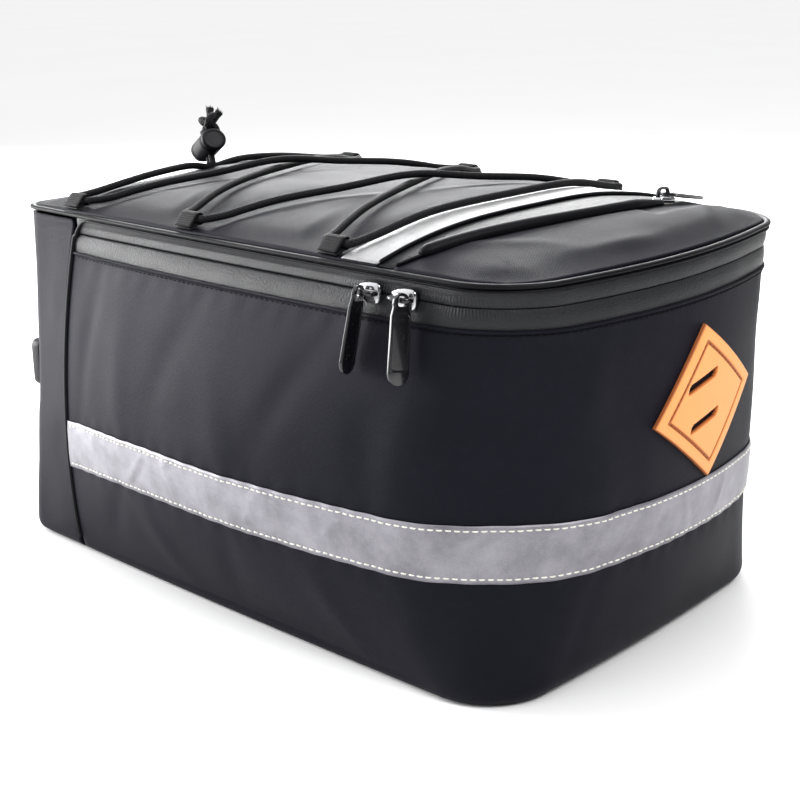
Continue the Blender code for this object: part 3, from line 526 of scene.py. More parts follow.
def seam_line(before, after, way):
    """Up a front seam, then round a bend on to the side sheet."""
    line = [(wall_point(before, z) + wall_point(after, z)) / 2 for z in spaced(BASE_EDGE, WELT_Z - WELT_BEND, 60)]
    for angle in spaced(0, 0.5 * math.pi, 14)[1:]:
        turn = after + way * WELT_BEND * (1 - math.cos(angle)) / RUNS[1]
        z = WELT_Z - WELT_BEND * (1 - math.sin(angle))
        line.append(wall_point(turn, z, 0.5 * MM * math.sin(angle)))
    return line


for name, before, after, way in (("near", 11, 0, 1), ("far", 6, 5, -1)):
    line = seam_line(before, after, way)
    radii = [1 - (1 - WELT_RADIUS / SEAM_RADIUS) * eased(i, 60, 74) for i in range(len(line))]
    put(tube(f"front_piping_{name}", line, SEAM_RADIUS, 10, radii=radii), BINDING, "binding", f"front_seam_{name}")

# Reflective band
# Silver tape of glass beads on cloth, 25 mm wide, sewn on with pale thread in a row close to each edge. It creases
# slantwise where the wall under it gives.

TAPE_FOLDS = folds(
    (0.066, 0.066, 50, 0.013, 0.0022, 0.0007), (0.072, 0.068, 54, 0.012, 0.0020, -0.0003),
    (0.095, 0.070, 120, 0.010, 0.0020, 0.0005), (0.150, 0.066, 64, 0.012, 0.0024, 0.0005),
    (0.198, 0.070, 46, 0.012, 0.0022, 0.0006), (0.252, 0.067, 58, 0.013, 0.0022, 0.0006),
    (0.300, 0.070, 38, 0.018, 0.0024, 0.0007), (0.322, 0.066, 60, 0.012, 0.0022, 0.0005),
    (0.352, 0.068, 118, 0.012, 0.0024, 0.0006), (0.386, 0.067, 56, 0.012, 0.0022, 0.0006),
    (0.440, 0.069, 66, 0.012, 0.0022, 0.0006), (0.520, 0.067, 52, 0.012, 0.0022, 0.0006),
    (0.610, 0.069, 122, 0.012, 0.0022, 0.0006), (0.665, 0.067, 58, 0.012, 0.0022, 0.0005),
)


def tape_skin(turn, z, out=0.35 * MM):
    """The outer face of the tape at a place given as if the tape ran level."""
    run = run_of(turn)
    rise = folded(TAPE_FOLDS, run, z) + 0.16 * MM * (1 + noise.noise(Vector((run * 90, z * 120, 2.2))))
    edge = min(z - TAPE_LOW, TAPE_HIGH - z)
    rise = rise * eased(edge, 1 * MM, 6 * MM) + 0.12 * MM * eased(edge, 0, 1.5 * MM)
    level = z + tape_drop(turn)
    return wall_skin(turn, level, out + 0.3 * MM + max(rise, -0.1 * MM))


def silver_tape(name, dark, light, metallic, worn=0.0):
    """Glass beads in silver paint, dulled where the cloth has creased and lost in specks where it is worn."""
    finish = Finish(name, 0.42, Metallic=metallic)
    across, along, place = finish.cloth()
    bead = finish.grain(place, 2200, 1)
    cloud = finish.grain(place, 45, 5, 0.65)
    threads = (across * (2 * math.pi / (0.9 * MM))).sine() * (along * (2 * math.pi / (0.9 * MM))).sine()
    tone = cloud * 0.75 + bead * 0.25
    lost = finish.grain(place, 380, 3, 0.7).between(0.60, 0.72) * worn
    colour = finish.mixed(tone.between(0.25, 0.75) * (1 - lost) - lost, dark, light)
    return finish.done(colour, 0.30 + 0.25 * cloud, bead * 0.6 + threads * 0.2 + cloud, 0.12 * MM, 0.5)


SILVER = silver_tape("silver_tape", rgb(0.15, 0.145, 0.165), rgb(0.34, 0.33, 0.365), 0.4)
put(
    cloth_grid("silver_band", side_columns(1.6 * MM), spaced(TAPE_LOW, TAPE_HIGH, 16), tape_skin, 0.3 * MM),
    SILVER, "reflective_tape", "reflective_band",
)


def stations(path, start, end, pitch, samples=900):
    """Places a pitch apart along path, each with its direction."""
    points = [path(start + (end - start) * i / samples) for i in range(samples + 1)]
    found, walked, due = [], 0.0, 0.5 * pitch
    for a, b in zip(points, points[1:]):
        length = (b - a).length
        while walked + length > due:
            found.append((a.lerp(b, (due - walked) / length), (b - a).normalized()))
            due += pitch
        walked += length
    return found


def stitches(name, places, length, radius, outward, tilt=0.0):
    """Short lengths of thread, each sunk into the cloth at its two ends."""
    verts, faces = [], []
    sides, shares = 6, ((-0.5, 0.35, -0.5), (-0.32, 0.9, 0.3), (0, 1, 0.55), (0.32, 0.9, 0.3), (0.5, 0.35, -0.5))
    for place, way in places:
        up = outward(place).normalized()
        side = way.cross(up).normalized()
        way = (way * math.cos(tilt) + side * math.sin(tilt)).normalized()
        side = way.cross(up).normalized()
        first = len(verts)
        for share, thick, lift in shares:
            middle = place + way * (length * share) + up * (radius * lift)
            for k in range(sides):
                angle = 2 * math.pi * k / sides
                verts.append(middle + (side * math.cos(angle) + up * math.sin(angle)) * radius * thick)
        for j in range(len(shares) - 1):
            for k in range(sides):
                m = (k + 1) % sides
                row = first + j * sides
                faces.append((row + k, row + m, row + sides + m, row + sides + k))
        faces.append(tuple(first + k for k in reversed(range(sides))))
        faces.append(tuple(first + (len(shares) - 1) * sides + k for k in range(sides)))
    return from_lists(name, verts, faces)


def thread(name, dark, light):
    """Twisted sewing thread."""
    finish = Finish(name, 0.55, Specular_IOR_Level=0.1)
    fibre = finish.grain(finish.here(), 1500, 2)
    return finish.done(finish.mixed(fibre, dark, light), 0.45 + 0.25 * fibre, fibre, 0.1 * MM, 0.6)


PALE_THREAD = thread("pale_thread", rgb(0.62, 0.62, 0.54), rgb(0.96, 0.95, 0.86))
DARK_THREAD = thread("dark_thread", rgb(0.001, 0.001, 0.002), rgb(0.004, 0.004, 0.005))


def from_axis(point):
    """Roughly outward from the walls at a place."""
    half = 0.5 * LENGTH - 0.06
    return Vector((point.x - min(max(point.x, -half), half), point.y - min(max(point.y, -0.045), 0.045), 0))


for name, z in (("lower", TAPE_LOW + 2.2 * MM), ("upper", TAPE_HIGH - 2.2 * MM)):
    places = stations(lambda turn: tape_skin(turn, z), 0.01, 4.99, 3.7 * MM)
    put(stitches(f"band_stitches_{name}", places, 2.8 * MM, 0.40 * MM, from_axis), PALE_THREAD, "reflective_tape")

# Patch
# Orange rubber, moulded in one piece: a diamond with a sunk line all round, sewn down in that line, and two slanted
# slots cut through to the cloth. The place between the slots is bare.

PATCH_HALF_WIDTH, PATCH_HALF_HEIGHT, PATCH_THICKNESS = 36.25 * MM, 35 * MM, 2 * MM
PATCH_Y, PATCH_Z, PATCH_TURN = 6.8 * MM, 116.7 * MM, math.radians(5)
GROOVE_IN, GROOVE_HALF, GROOVE_DEPTH = 5.6 * MM, 1.1 * MM, 0.75 * MM
SLOT_HALF, SLOT_WIDTH, SLOT_APART, SLOT_SLANT = 11.5 * MM, 4.2 * MM, 9 * MM, math.radians(7.6)
SLOTS_ACROSS, SLOTS_UP = -4.9 * MM, 2.4 * MM
REAR_FLAT = 2 * (0.5 - SECTIONS[1].corner) * WIDTH


def on_rear(p, q, out):
    """A place on the rear face from the patch's own right and up."""
    y = p * math.cos(PATCH_TURN) - q * math.sin(PATCH_TURN) + PATCH_Y
    z = p * math.sin(PATCH_TURN) + q * math.cos(PATCH_TURN) + PATCH_Z
    return wall_point(2.5 + y / REAR_FLAT, z, out)


def diamond(a, b):
    """Right and up in the patch for two numbers that run from -1 to 1 between its opposite edges."""
    return 0.5 * (a - b) * PATCH_HALF_WIDTH, 0.5 * (a + b) * PATCH_HALF_HEIGHT


def patch():
    edge_span = PATCH_HALF_WIDTH * PATCH_HALF_HEIGHT / math.hypot(PATCH_HALF_WIDTH, PATCH_HALF_HEIGHT)
    ticks = [-1, 1, -0.992, 0.992, -0.975, 0.975] + spaced(-0.95, 0.95, 38)
    for part in (-1.5, -1, -0.5, 0, 0.5, 1, 1.5):
        tick = 1 - (GROOVE_IN + part * GROOVE_HALF) / edge_span
        ticks += [-1 * tick, tick]
    ticks = sorted(set(ticks))
    ticks = [t for i, t in enumerate(ticks) if not i or t - ticks[i - 1] > 0.004]
    shape = bmesh.new()
    top, low = {}, {}
    for a in ticks:
        for b in ticks:
            inside = min(1 - abs(a), 1 - abs(b)) * edge_span
            sunk = GROOVE_DEPTH * max(1 - (abs(inside - GROOVE_IN) / GROOVE_HALF) ** 2, 0)
            rounded = 0.7 * MM * max(1 - inside / (1.2 * MM), 0) ** 2
            p, q = diamond(a, b)
            top[a, b] = shape.verts.new((p, q, PATCH_THICKNESS - sunk - rounded))
            if max(abs(a), abs(b)) == 1:
                low[a, b] = shape.verts.new((p, q, 0))
    for a, c in zip(ticks, ticks[1:]):
        for b, d in zip(ticks, ticks[1:]):
            shape.faces.new((top[a, b], top[c, b], top[c, d], top[a, d]))
    ring = [(t, -1) for t in ticks] + [(1, t) for t in ticks[1:]]
    ring += [(t, 1) for t in reversed(ticks[:-1])] + [(-1, t) for t in reversed(ticks[1:-1])]
    for one, two in zip(ring, ring[1:] + ring[:1]):
        shape.faces.new((top[one], low[one], low[two], top[two]))
    shape.faces.new([low[at] for at in reversed(ring)])
    bmesh.ops.recalc_face_normals(shape, faces=shape.faces)
    obj = bpy.data.objects.new("orange_patch", from_shape("orange_patch", shape))
    for way in (-1, 1):
        obj = combined(obj, slot_cutter(way))
    # How deep each point sits in the sunk line, kept in the attribute cloth for the painted shade there
    depths = [min(PATCH_THICKNESS - vert.co.z, GROOVE_DEPTH) for vert in obj.data.vertices]
    mark_cloth(obj.data, [(depth / GROOVE_DEPTH, 0, 0) for depth in depths])
    for vert in obj.data.vertices:
        vert.co = on_rear(vert.co.x, vert.co.y, 0.3 * MM + vert.co.z)
    obj.data.shade_smooth()
    obj.data.set_sharp_from_angle(angle=math.radians(40))
    return obj


def applied(obj):
    """The same object with its modifiers made part of its mesh."""
    scene = bpy.context.scene.collection.objects
    scene.link(obj)
    bpy.context.view_layer.update()
    mesh = bpy.data.meshes.new_from_object(obj.evaluated_get(bpy.context.evaluated_depsgraph_get()))
    obj.modifiers.clear()
    obj.data = mesh
    scene.unlink(obj)
    return obj


def combined(obj, other, operation="DIFFERENCE"):
    bpy.context.scene.collection.objects.link(other)
    modifier = obj.modifiers.new("combined", "BOOLEAN")
    modifier.operation, modifier.object, modifier.solver = operation, other, "EXACT"
    obj = applied(obj)
    bpy.data.objects.remove(other)
    return obj


def slot_cutter(way):
    """A bar with slanted ends, standing through the patch."""
    half = 0.5 * SLOT_WIDTH
    ends = ((-SLOT_HALF, -half), (SLOT_HALF - 2.4 * MM, -half), (SLOT_HALF, half), (2.4 * MM - SLOT_HALF, half))
    shape = bmesh.new()
    bottom = [shape.verts.new((x, y, -MM)) for x, y in ends]
    top = [shape.verts.new((x, y, 4 * MM)) for x, y in ends]
    shape.faces.new(reversed(bottom))
    shape.faces.new(top)
    for i in range(4):
        shape.faces.new((bottom[i], bottom[(i + 1) % 4], top[(i + 1) % 4], top[i]))
    upright = [e for e in shape.edges if abs(e.verts[0].co.z - e.verts[1].co.z) > MM]
    bmesh.ops.bevel(shape, geom=upright, offset=0.8 * MM, segments=3, affect="EDGES")
    place = Matrix.Translation((SLOTS_ACROSS, SLOTS_UP + way * SLOT_APART, 0)) @ Matrix.Rotation(SLOT_SLANT, 4, "Z")
    bmesh.ops.transform(shape, matrix=place, verts=shape.verts)
    bmesh.ops.recalc_face_normals(shape, faces=shape.faces)
    return bpy.data.objects.new("slot", from_shape("slot", shape))


def orange_rubber():
    """Moulded rubber: a dull skin, paler where hands rub it, and darker in the sunk line as painted shade."""
    finish = Finish("orange_rubber", 0.45, Specular_IOR_Level=0.25)
    place = finish.here()
    pores = finish.grain(place, 1400, 2)
    cloud = finish.grain(place, 55, 4, 0.6)
    sunk, _, _ = finish.cloth()
    tone = finish.mixed(cloud, rgb(0.97, 0.345, 0.105), rgb(1.0, 0.400, 0.135))
    # Painted shade: the colour darkens towards the bottom of the sunk line
    colour = finish.mixed(sunk.between(0.15, 0.8), tone, rgb(0.36, 0.105, 0.030))
    return finish.done(colour, 0.38 + 0.2 * cloud, pores * 0.5 + cloud, 0.10 * MM, 0.4)


RUBBER = orange_rubber()
put(patch(), RUBBER, "moulded_rubber", "rubber_patch")


THREAD_OUT = 0.3 * MM + PATCH_THICKNESS - 0.62 * MM


def groove_stitches():
    """Thread in the sunk line, one side of the diamond after another."""
    inner = 1 - GROOVE_IN * math.hypot(PATCH_HALF_WIDTH, PATCH_HALF_HEIGHT) / (PATCH_HALF_WIDTH * PATCH_HALF_HEIGHT)
    corners = [(-inner, -inner), (inner, -inner), (inner, inner), (-inner, inner), (-inner, -inner)]
    places = []
    for (a, b), (c, d) in zip(corners, corners[1:]):
        side = lambda t: on_rear(*diamond(a + (c - a) * t, b + (d - b) * t), THREAD_OUT)
        places += stations(side, 0.02, 0.98, 3.3 * MM, 60)
    return stitches("patch_stitches", places, 2.2 * MM, 0.26 * MM, from_axis)


put(groove_stitches(), thread("rust_thread", rgb(0.16, 0.045, 0.015), rgb(0.42, 0.13, 0.045)), "moulded_rubber")

# Lid zip
# A coil zip on tape with a rubber film on its outer face, sewn in under the lid. The film shows fine grain, and over
# the coil, close to the line where its halves meet, a row of slanted bumps.

ZIP_RECESS = 0.5 * MM


def zip_skin(low, high, crown):
    """Places one half of the zip, slightly crowned between its edges, and rippled a little along them."""

    def place(turn, z):
        share = (z - low) / (high - low)
        run = run_of(turn)
        calm = eased(min(turn, 5 - turn), 0, 0.04)
        ripple = 0.25 * MM * noise.noise(Vector((run * 60, z * 60, 9.1))) * calm
        return wall_point(turn, z, -ZIP_RECESS + 4 * share * (1 - share) * crown + ripple)

    return place


def zip_film(name, glare):
    """Satin rubber film with grain, and with the coil's bumps showing where the attribute says it is near."""
    finish = Finish(name, 0.36, Specular_IOR_Level=glare)
    across, along, place = finish.cloth()
    speck = finish.grain(place, 1000, 3, 0.7)
    cloud = finish.grain(place, 70, 4, 0.6)
    ribs = ((across + along * 0.35) * (2 * math.pi / (1.5 * MM))).sine()
    coil = finish.node("ShaderNodeAttribute", {"attribute_name": "coil"}, out="Fac")
    colour = finish.mixed(speck * 0.6 + cloud * 0.4, rgb(0.003, 0.003, 0.004), rgb(0.026, 0.027, 0.030))
    return finish.done(colour, 0.24 + 0.24 * speck, ribs * coil * 0.35 + speck * 1.2 + cloud * 0.5, 0.40 * MM, 0.7)


FILM = zip_film("zip_film", 0.20)


def mark_coil(obj, rows, columns, nearness):
    coil = obj.data.attributes.new("coil", "FLOAT", "POINT")
    coil.data.foreach_set("value", [nearness(row, column) for row in rows for column in columns])
    return obj


def coil_shows(z, turn):
    """The coil stands out most round the near rear corner, where the zip bends."""
    bent = 0.1 + 0.7 * eased(turn, 0.72, 0.9) * (1 - eased(turn, 1.6, 2.1))
    return bent * (1 - eased(abs(z - ZIP_MIDDLE), 3.0 * MM, 5.0 * MM))


for name, low, high in (
    ("lower", ZIP_SEAM - 0.6 * MM, ZIP_MIDDLE - 0.15 * MM), ("upper", ZIP_MIDDLE + 0.15 * MM, HEIGHT - 0.6 * MM)
):
    rows, columns = spaced(low, high, 12), side_columns(2.2 * MM)
    half = cloth_grid(f"zip_film_{name}", columns, rows, zip_skin(low, high, 0.7 * MM), 0.8 * MM)
    put(mark_coil(half, rows, columns, coil_shows), FILM, "coated_zip_tape", f"lid_zip_{name}")


def folded_edge():
    """The top edge of the wall's cloth, turned in and standing a little proud over the zip."""
    points = [wall_point(turn, ZIP_SEAM - 0.5 * MM, 0.1 * MM) for turn in side_columns(4 * MM)]
    return tube("wall_edge", points, 0.8 * MM, 8)


put(folded_edge(), CLOTH, "coated_fabric")
places = stations(lambda turn: wall_skin(turn, ZIP_SEAM - 2.1 * MM, 0.05 * MM), 0.01, 4.99, 3.3 * MM)
put(stitches("wall_edge_stitches", places, 2.4 * MM, 0.27 * MM, from_axis), DARK_THREAD, "coated_fabric")

# Lid piping
# A thick black piping closes the edge of the lid all round, and a thin welt under it covers the zip's upper seam.

PLAN = side_columns(5 * MM) + front_columns()[::2]
line = [wall_point(turn, HEIGHT, -0.2 * MM) for turn in PLAN]
piping = tube("lid_edge_piping", line, 0.8 * PIPING_RADIUS, 14, closed=True)
for vertex in piping.data.vertices:
    vertex.co.z = HEIGHT + 0.3 * MM + 0.65 * (vertex.co.z - HEIGHT)
put(piping, BINDING, "binding", "lid_piping")
welt_turn = WELT_BEND / RUNS[1]
turns = [t for t in side_columns(5 * MM) if welt_turn < t < 5 - welt_turn]
welt = [wall_point(turn, WELT_Z, 0.5 * MM) for turn in [welt_turn] + turns + [5 - welt_turn]]
put(tube("lid_edge_welt", welt, WELT_RADIUS, 10), BINDING, "binding")

# Lid
# The same coated cloth, domed by the padding under it and drawn down along the strands of the elastic cord. The rear
# third is a second sheet, the cover of a flat pocket, and a silver strip is sewn down in front of the pocket's zip.

Form = namedtuple("Form", "x y rise reach_x reach_y")
LOOP_SHARES = (-0.75, -0.19, 0.395)
FORMS = [Form(0.83, 0.0, 0.16, 0.13, 0.75), Form(0.66, 0.62, -0.14, 0.10, 0.22)]
FORMS += [Form(x, y, -0.16, 0.10, 0.18) for x in LOOP_SHARES for y in (-0.76, 0.76)]
Line = namedtuple("Line", "near middle far")
STRIP_FRONT, STRIP_REAR = Line(0.45, 0.385, 0.45), Line(0.58, 0.54, 0.58)
LIP, LIP_ENDS = Line(0.63, 0.72, 0.75), (-0.86, 0.50)


def across_lid(line, v):
    share = line.near * 0.5 * v * (v - 1) + line.middle * (1 - v * v) + line.far * 0.5 * v * (v + 1)
    return share * 0.5 * LENGTH


def lid_surface(x, y):
    along, across = x / (0.5 * LENGTH), y / (0.5 * WIDTH)
    edge = max(1 - abs(along) ** 4, 0) * max(1 - abs(across) ** 3, 0)
    rise = edge
    for form in FORMS:
        far = ((along - form.x) / form.reach_x) ** 2 + ((across - form.y) / form.reach_y) ** 2
        rise += form.rise * math.exp(-far) * min(3 * edge, 1)
    section = SECTIONS[-1]
    front, rear, half_width = plan_edges(section)
    front, rear, half_width = front + LID_INSET, rear - LID_INSET, half_width - LID_INSET
    for end, way, radius in ((rear, 1, section.corner * WIDTH - LID_INSET), (front, -1, FRONT_CORNER - LID_INSET)):
        past_x, past_y = way * (x - end) + radius, abs(y) - half_width + radius
        if past_x > 0 and past_y > 0:
            pull = max(past_x, past_y) / math.hypot(past_x, past_y)
            x = end + way * (past_x * pull - radius)
            y = math.copysign(half_width + past_y * pull - radius, y)
    x, y = bulged(x, y, section)
    return Vector((x, y, HEIGHT + 0.5 * LID_WALL + CROWN * rise))


def lid_point(x, y, out=0.0):
    inner = 0.5 * WIDTH - LID_INSET - MM
    near = min(max(y, -inner), inner)
    along = lid_surface(x + MM, near) - lid_surface(x - MM, near)
    across = lid_surface(x, near + MM) - lid_surface(x, near - MM)
    return lid_surface(x, y) + along.cross(across).normalized() * out


# The strands that press on the lid, from the front end or the rear end of one loop to the next
LOOP_X = tuple(share * 0.5 * LENGTH for share in LOOP_SHARES)
LOOP_Y, LOOP_WIDTH, CORD_BEND = 0.5 * WIDTH - 9 * MM, 11 * MM, 2.6 * MM
BESIDE = 0.5 * LOOP_WIDTH + CORD_BEND
Strand = namedtuple("Strand", "start end crosses rests")
STRANDS = (
    Strand((LOOP_X[0] + BESIDE, -LOOP_Y), (LOOP_X[1] - BESIDE, LOOP_Y), 1, 0.0),
    Strand((LOOP_X[1] + BESIDE, LOOP_Y), (LOOP_X[2] - BESIDE, -LOOP_Y), 0, 0.0),
    Strand((LOOP_X[2] + BESIDE, -LOOP_Y), (LOOP_X[2] + BESIDE, LOOP_Y), 0, 1.1 * MM),
    Strand((LOOP_X[2] - BESIDE, LOOP_Y), (LOOP_X[1] + BESIDE, -LOOP_Y), 1, 0.0),
    Strand((LOOP_X[1] - BESIDE, -LOOP_Y), (LOOP_X[0] + BESIDE, LOOP_Y), 0, 0.0),
)


def from_strand(x, y):
    """The distance from a place on the lid to the nearest strand."""
    nearest = 1.0
    for strand in STRANDS:
        (ax, ay), (bx, by) = strand.start, strand.end
        share = ((x - ax) * (bx - ax) + (y - ay) * (by - ay)) / ((bx - ax) ** 2 + (by - ay) ** 2)
        share = min(max(share, 0), 1)
        nearest = min(nearest, math.hypot(x - ax - (bx - ax) * share, y - ay - (by - ay) * share))
    return nearest


LID_FOLDS = folds(
    (-0.118, -0.060, 58, 0.020, 0.0045, 0.0009), (-0.100, -0.074, 30, 0.018, 0.0040, 0.0008),
    (-0.060, -0.070, 110, 0.022, 0.0050, 0.0009), (-0.012, -0.068, 62, 0.022, 0.0045, 0.0009),
    (0.030, -0.070, 104, 0.020, 0.0045, 0.0008), (-0.092, 0.062, 118, 0.020, 0.0045, 0.0009),
    (-0.020, 0.066, 64, 0.020, 0.0045, 0.0009), (0.024, 0.058, 120, 0.020, 0.0045, 0.0009),
    (-0.140, 0.020, 95, 0.024, 0.0050, 0.0008), (0.118, -0.066, 42, 0.020, 0.0045, 0.0008),
    (0.136, 0.060, 130, 0.022, 0.0045, 0.0008), (0.146, -0.020, 84, 0.026, 0.0050, 0.0007),
)


FRONT_SWELL = 2.2 * MM
POCKET_SLIDER_X, POCKET_SLIDER_Y = 119 * MM, 68 * MM


def lid_relief(x, y):
    soft = 0.9 * MM * noise.noise(Vector((x * 16, y * 18, 5.5)))
    soft += 0.4 * MM * noise.noise(Vector((x * 45, y * 50, 2.5)))
    soft += folded(LID_FOLDS, x, y)
    soft += FRONT_SWELL * math.exp(-(((x + 0.125) / 0.030) ** 2) - ((y - 0.035) / 0.060) ** 2)
    strand = from_strand(x, y)
    soft = soft * eased(strand, 3 * MM, 12 * MM) + 1.0 * MM * eased(strand, 6 * MM, 22 * MM)
    soft -= 0.7 * MM * math.exp(-((strand / (5 * MM)) ** 2))
    v = y / (0.5 * WIDTH - LID_INSET)
    edges = min(1 - abs(v), (x + 0.157) / 0.1, (0.5 * LENGTH - 0.002 - x) / 0.1)
    calm = eased(edges, 0, 0.16)
    for line, reach in ((STRIP_FRONT, 5 * MM), (STRIP_REAR, 5 * MM), (LIP, 5 * MM)):
        calm *= eased(abs(x - across_lid(line, v)), 1 * MM, reach)
    for loop in LOOP_X:
        calm *= eased(max(abs(x - loop) / (9 * MM), (LOOP_Y - 6 * MM - abs(y)) / (3 * MM) + 1), 0.9, 1.4)
    if abs(y - POCKET_SLIDER_Y) < 0.045:
        calm *= eased(abs(x - POCKET_SLIDER_X), 8 * MM, 14 * MM)
    return soft * calm


def lid_sheet(name, first, last, steps, thickness, out=0.0, outside=False, across=90, puff=None):
    def place(v, u):
        x, y = first(v) + (last(v) - first(v)) * u, v * (0.5 * WIDTH - LID_INSET)
        lift = puff(u, v) if puff else lid_relief(x, y)
        return lid_point(x, y, out + lift)

    return cloth_grid(name, spaced(-1, 1, across), spaced(0, 1, steps), place, thickness, outside)


lid_front = plan_edges(SECTIONS[-1])[0] + LID_INSET
lid_rear = plan_edges(SECTIONS[-1])[1] - LID_INSET


def film_edge(v):
    return across_lid(STRIP_REAR, v)


def lip_line(v):
    return across_lid(LIP, v)


sheet = lid_sheet("lid_front_cloth", lambda v: lid_front, film_edge, 110, LID_WALL)
put(sheet, CLOTH, "coated_fabric", "lid_front_panel")
sheet = lid_sheet("lid_pocket_cloth", lip_line, lambda v: lid_rear, 34, LID_WALL)
put(sheet, CLOTH, "coated_fabric", "lid_pocket_panel")


def strip_puff(u, v):
    puffed = 0.7 * MM * 4 * u * (1 - u) * eased(1 - abs(v), 0, 0.1)
    return puffed + 0.12 * MM * noise.noise(Vector((u * 5, v * 30, 4)))


strip = lid_sheet(
    "lid_silver_strip", lambda v: across_lid(STRIP_FRONT, v), lambda v: film_edge(v) - 0.6 * MM,
    14, 0.4 * MM, 0.35 * MM, True, puff=strip_puff,
)
STRIP = silver_tape("silver_strip", rgb(0.22, 0.22, 0.225), rgb(0.42, 0.42, 0.43), 0.1, 0.8)
put(strip, STRIP, "reflective_tape", "lid_reflective_strip")

# Pocket zip
# The same coated zip as the lid's, laid across the lid and hidden at its rear edge by a rolled lip of black binding. A
# thin welt divides it from the silver strip.

pocket_rows = spaced(0, 1, 14)
pocket = lid_sheet(
    "pocket_zip_film", film_edge, lambda v: lip_line(v) - 0.3 * MM, 14, 0.8 * MM,
    puff=lambda u, v: 0.5 * MM * 4 * u * (1 - u) * eased(1 - abs(v), 0, 0.08),
)
mark_coil(pocket, pocket_rows, range(91), lambda u, _: 0.6 * eased(u, 0.55, 0.8))
put(pocket, zip_film("pocket_film", 0.06), "coated_zip_tape", "pocket_zip_band")
welt = [lid_point(film_edge(v), v * (0.5 * WIDTH - LID_INSET), 0.9 * MM) for v in spaced(-0.985, 0.985, 90)]
put(tube("pocket_welt", welt, 0.95 * MM, 10), BINDING, "binding")


def rolled_lip():
    reach = spaced(*LIP_ENDS, 90)
    points = [lid_point(lip_line(v) - 0.5 * MM, v * 0.5 * WIDTH, 1.3 * MM) for v in reach]
    radii = [min(1, 0.5 + 16 * (v - reach[0]), 0.42 + 2.6 * (reach[-1] - v)) for v in reach]
    return tube("pocket_rolled_lip", points, 3.2 * MM, 16, radii=radii)


put(rolled_lip(), BINDING, "binding", "pocket_lip")
shares = spaced(-0.985, LIP_ENDS[0] + 0.02, 8)
seam = [lid_point(lip_line(v), v * (0.5 * WIDTH - LID_INSET), 0.7 * MM) for v in shares]
put(tube("pocket_lip_seam", seam, 0.8 * MM, 10), BINDING, "binding")

# Cord loops
# Ribbed black webbing, 11 mm wide, folded round the cord, with both ends sewn in under the lid's piping.

YARN = rgb(0.002, 0.002, 0.003), rgb(0.010, 0.010, 0.012)
CORD_RADIUS, LOOP_WALL, LOOP_CLEARANCE = 1.9 * MM, 1 * MM, 0.5 * MM
LOOP_HOLE = CORD_RADIUS + LOOP_CLEARANCE


def ribbed_webbing():
    finish = Finish("ribbed_webbing", 0.62, Specular_IOR_Level=0.2)
    across, along, place = finish.cloth()
    ribs = (along * (2 * math.pi / (1.1 * MM))).sine()
    warp = (across * (2 * math.pi / (0.8 * MM))).sine()
    fuzz = finish.grain(place, 700, 3)
    # Painted shade: the colour follows the ribs, darker in the hollows between them
    colour = finish.mixed(ribs * 0.25 + fuzz * 0.6, *YARN)
    return finish.done(colour, 0.5 + 0.25 * fuzz, ribs * (0.7 + 0.3 * warp) + fuzz * 0.5, 0.22 * MM, 0.7)


WEBBING = ribbed_webbing()


def face_outward(mesh, merge=0.0):
    """Turns every face of a mesh outward, after points closer than merge are made one."""
    shape = bmesh.new()
    shape.from_mesh(mesh)
    if merge:
        bmesh.ops.remove_doubles(shape, verts=shape.verts, dist=merge)
    bmesh.ops.recalc_face_normals(shape, faces=shape.faces)
    shape.to_mesh(mesh)
    shape.free()


def ribbon(name, line, width_way, width, wall, across=10):
    """Webbing bent along a line of points, with its width along width_way and its ends closed."""
    verts, faces, marks, length = [], [], [], 0.0
    for i, point in enumerate(line):
        before, after = line[max(i - 1, 0)], line[min(i + 1, len(line) - 1)]
        normal = (after - before).normalized().cross(width_way).normalized()
        if i:
            length += (point - line[i - 1]).length
        for side in (1, -1):
            for k in range(across + 1):
                share = k / across - 0.5
                thin = 1 - 0.35 * (abs(2 * share) ** 6)
                verts.append(point + width_way * (share * width) + normal * (side * 0.5 * wall * thin))
                marks.append((share * width, length, 0))
    row = 2 * (across + 1)
    for i in range(len(line) - 1):
        a, b = i * row, (i + 1) * row
        for k in range(across):
            faces.append((a + k, a + k + 1, b + k + 1, b + k))
            faces.append((a + across + 2 + k, a + across + 1 + k, b + across + 1 + k, b + across + 2 + k))
        faces.append((a + across, a + 2 * across + 1, b + 2 * across + 1, b + across))
        faces.append((a + across + 1, a, b, b + across + 1))
    for at, flip in ((0, True), ((len(line) - 1) * row, False)):
        ring = [at + k for k in range(across + 1)] + [at + across + 1 + k for k in reversed(range(across + 1))]
        faces.append(tuple(reversed(ring)) if flip else tuple(ring))
    obj = from_lists(name, verts, faces, marks)
    face_outward(obj.data)
    return obj


def loop_middle(side, x):
    return lid_point(x, side * LOOP_Y, LOOP_HOLE + LOOP_WALL + LOOP_CLEARANCE)


def loop_line(side, x):
    """Up from the piping, round the cord and back down to the piping."""
    middle, edge = loop_middle(side, x), 0.5 * WIDTH - LID_INSET - 0.6 * MM
    ring = LOOP_HOLE - 0.35 * MM + 0.5 * LOOP_WALL
    line = [lid_point(x, side * y, LOOP_CLEARANCE + 0.5 * LOOP_WALL) for y in spaced(edge, LOOP_Y + 3.4 * MM, 6)]
    for angle in spaced(math.radians(-62), math.radians(-306), 18):
        line.append(middle + Vector((0, side * ring * math.cos(angle), ring * math.sin(angle))))
    end = lid_point(x, side * edge, LOOP_CLEARANCE + 1.6 * LOOP_WALL)
    return line + [line[-1].lerp(end, share) for share in spaced(0, 1, 6)[1:]]


for side, name in ((-1, "near"), (1, "far")):
    for number, x in enumerate(LOOP_X, 1):
        line = loop_line(side, x)
        loop = ribbon(f"webbing_loop_{name}_{number}", line, Vector((1, 0, 0)), LOOP_WIDTH, LOOP_WALL)
        put(loop, WEBBING, "webbing", f"cord_loop_{name}_{number}")

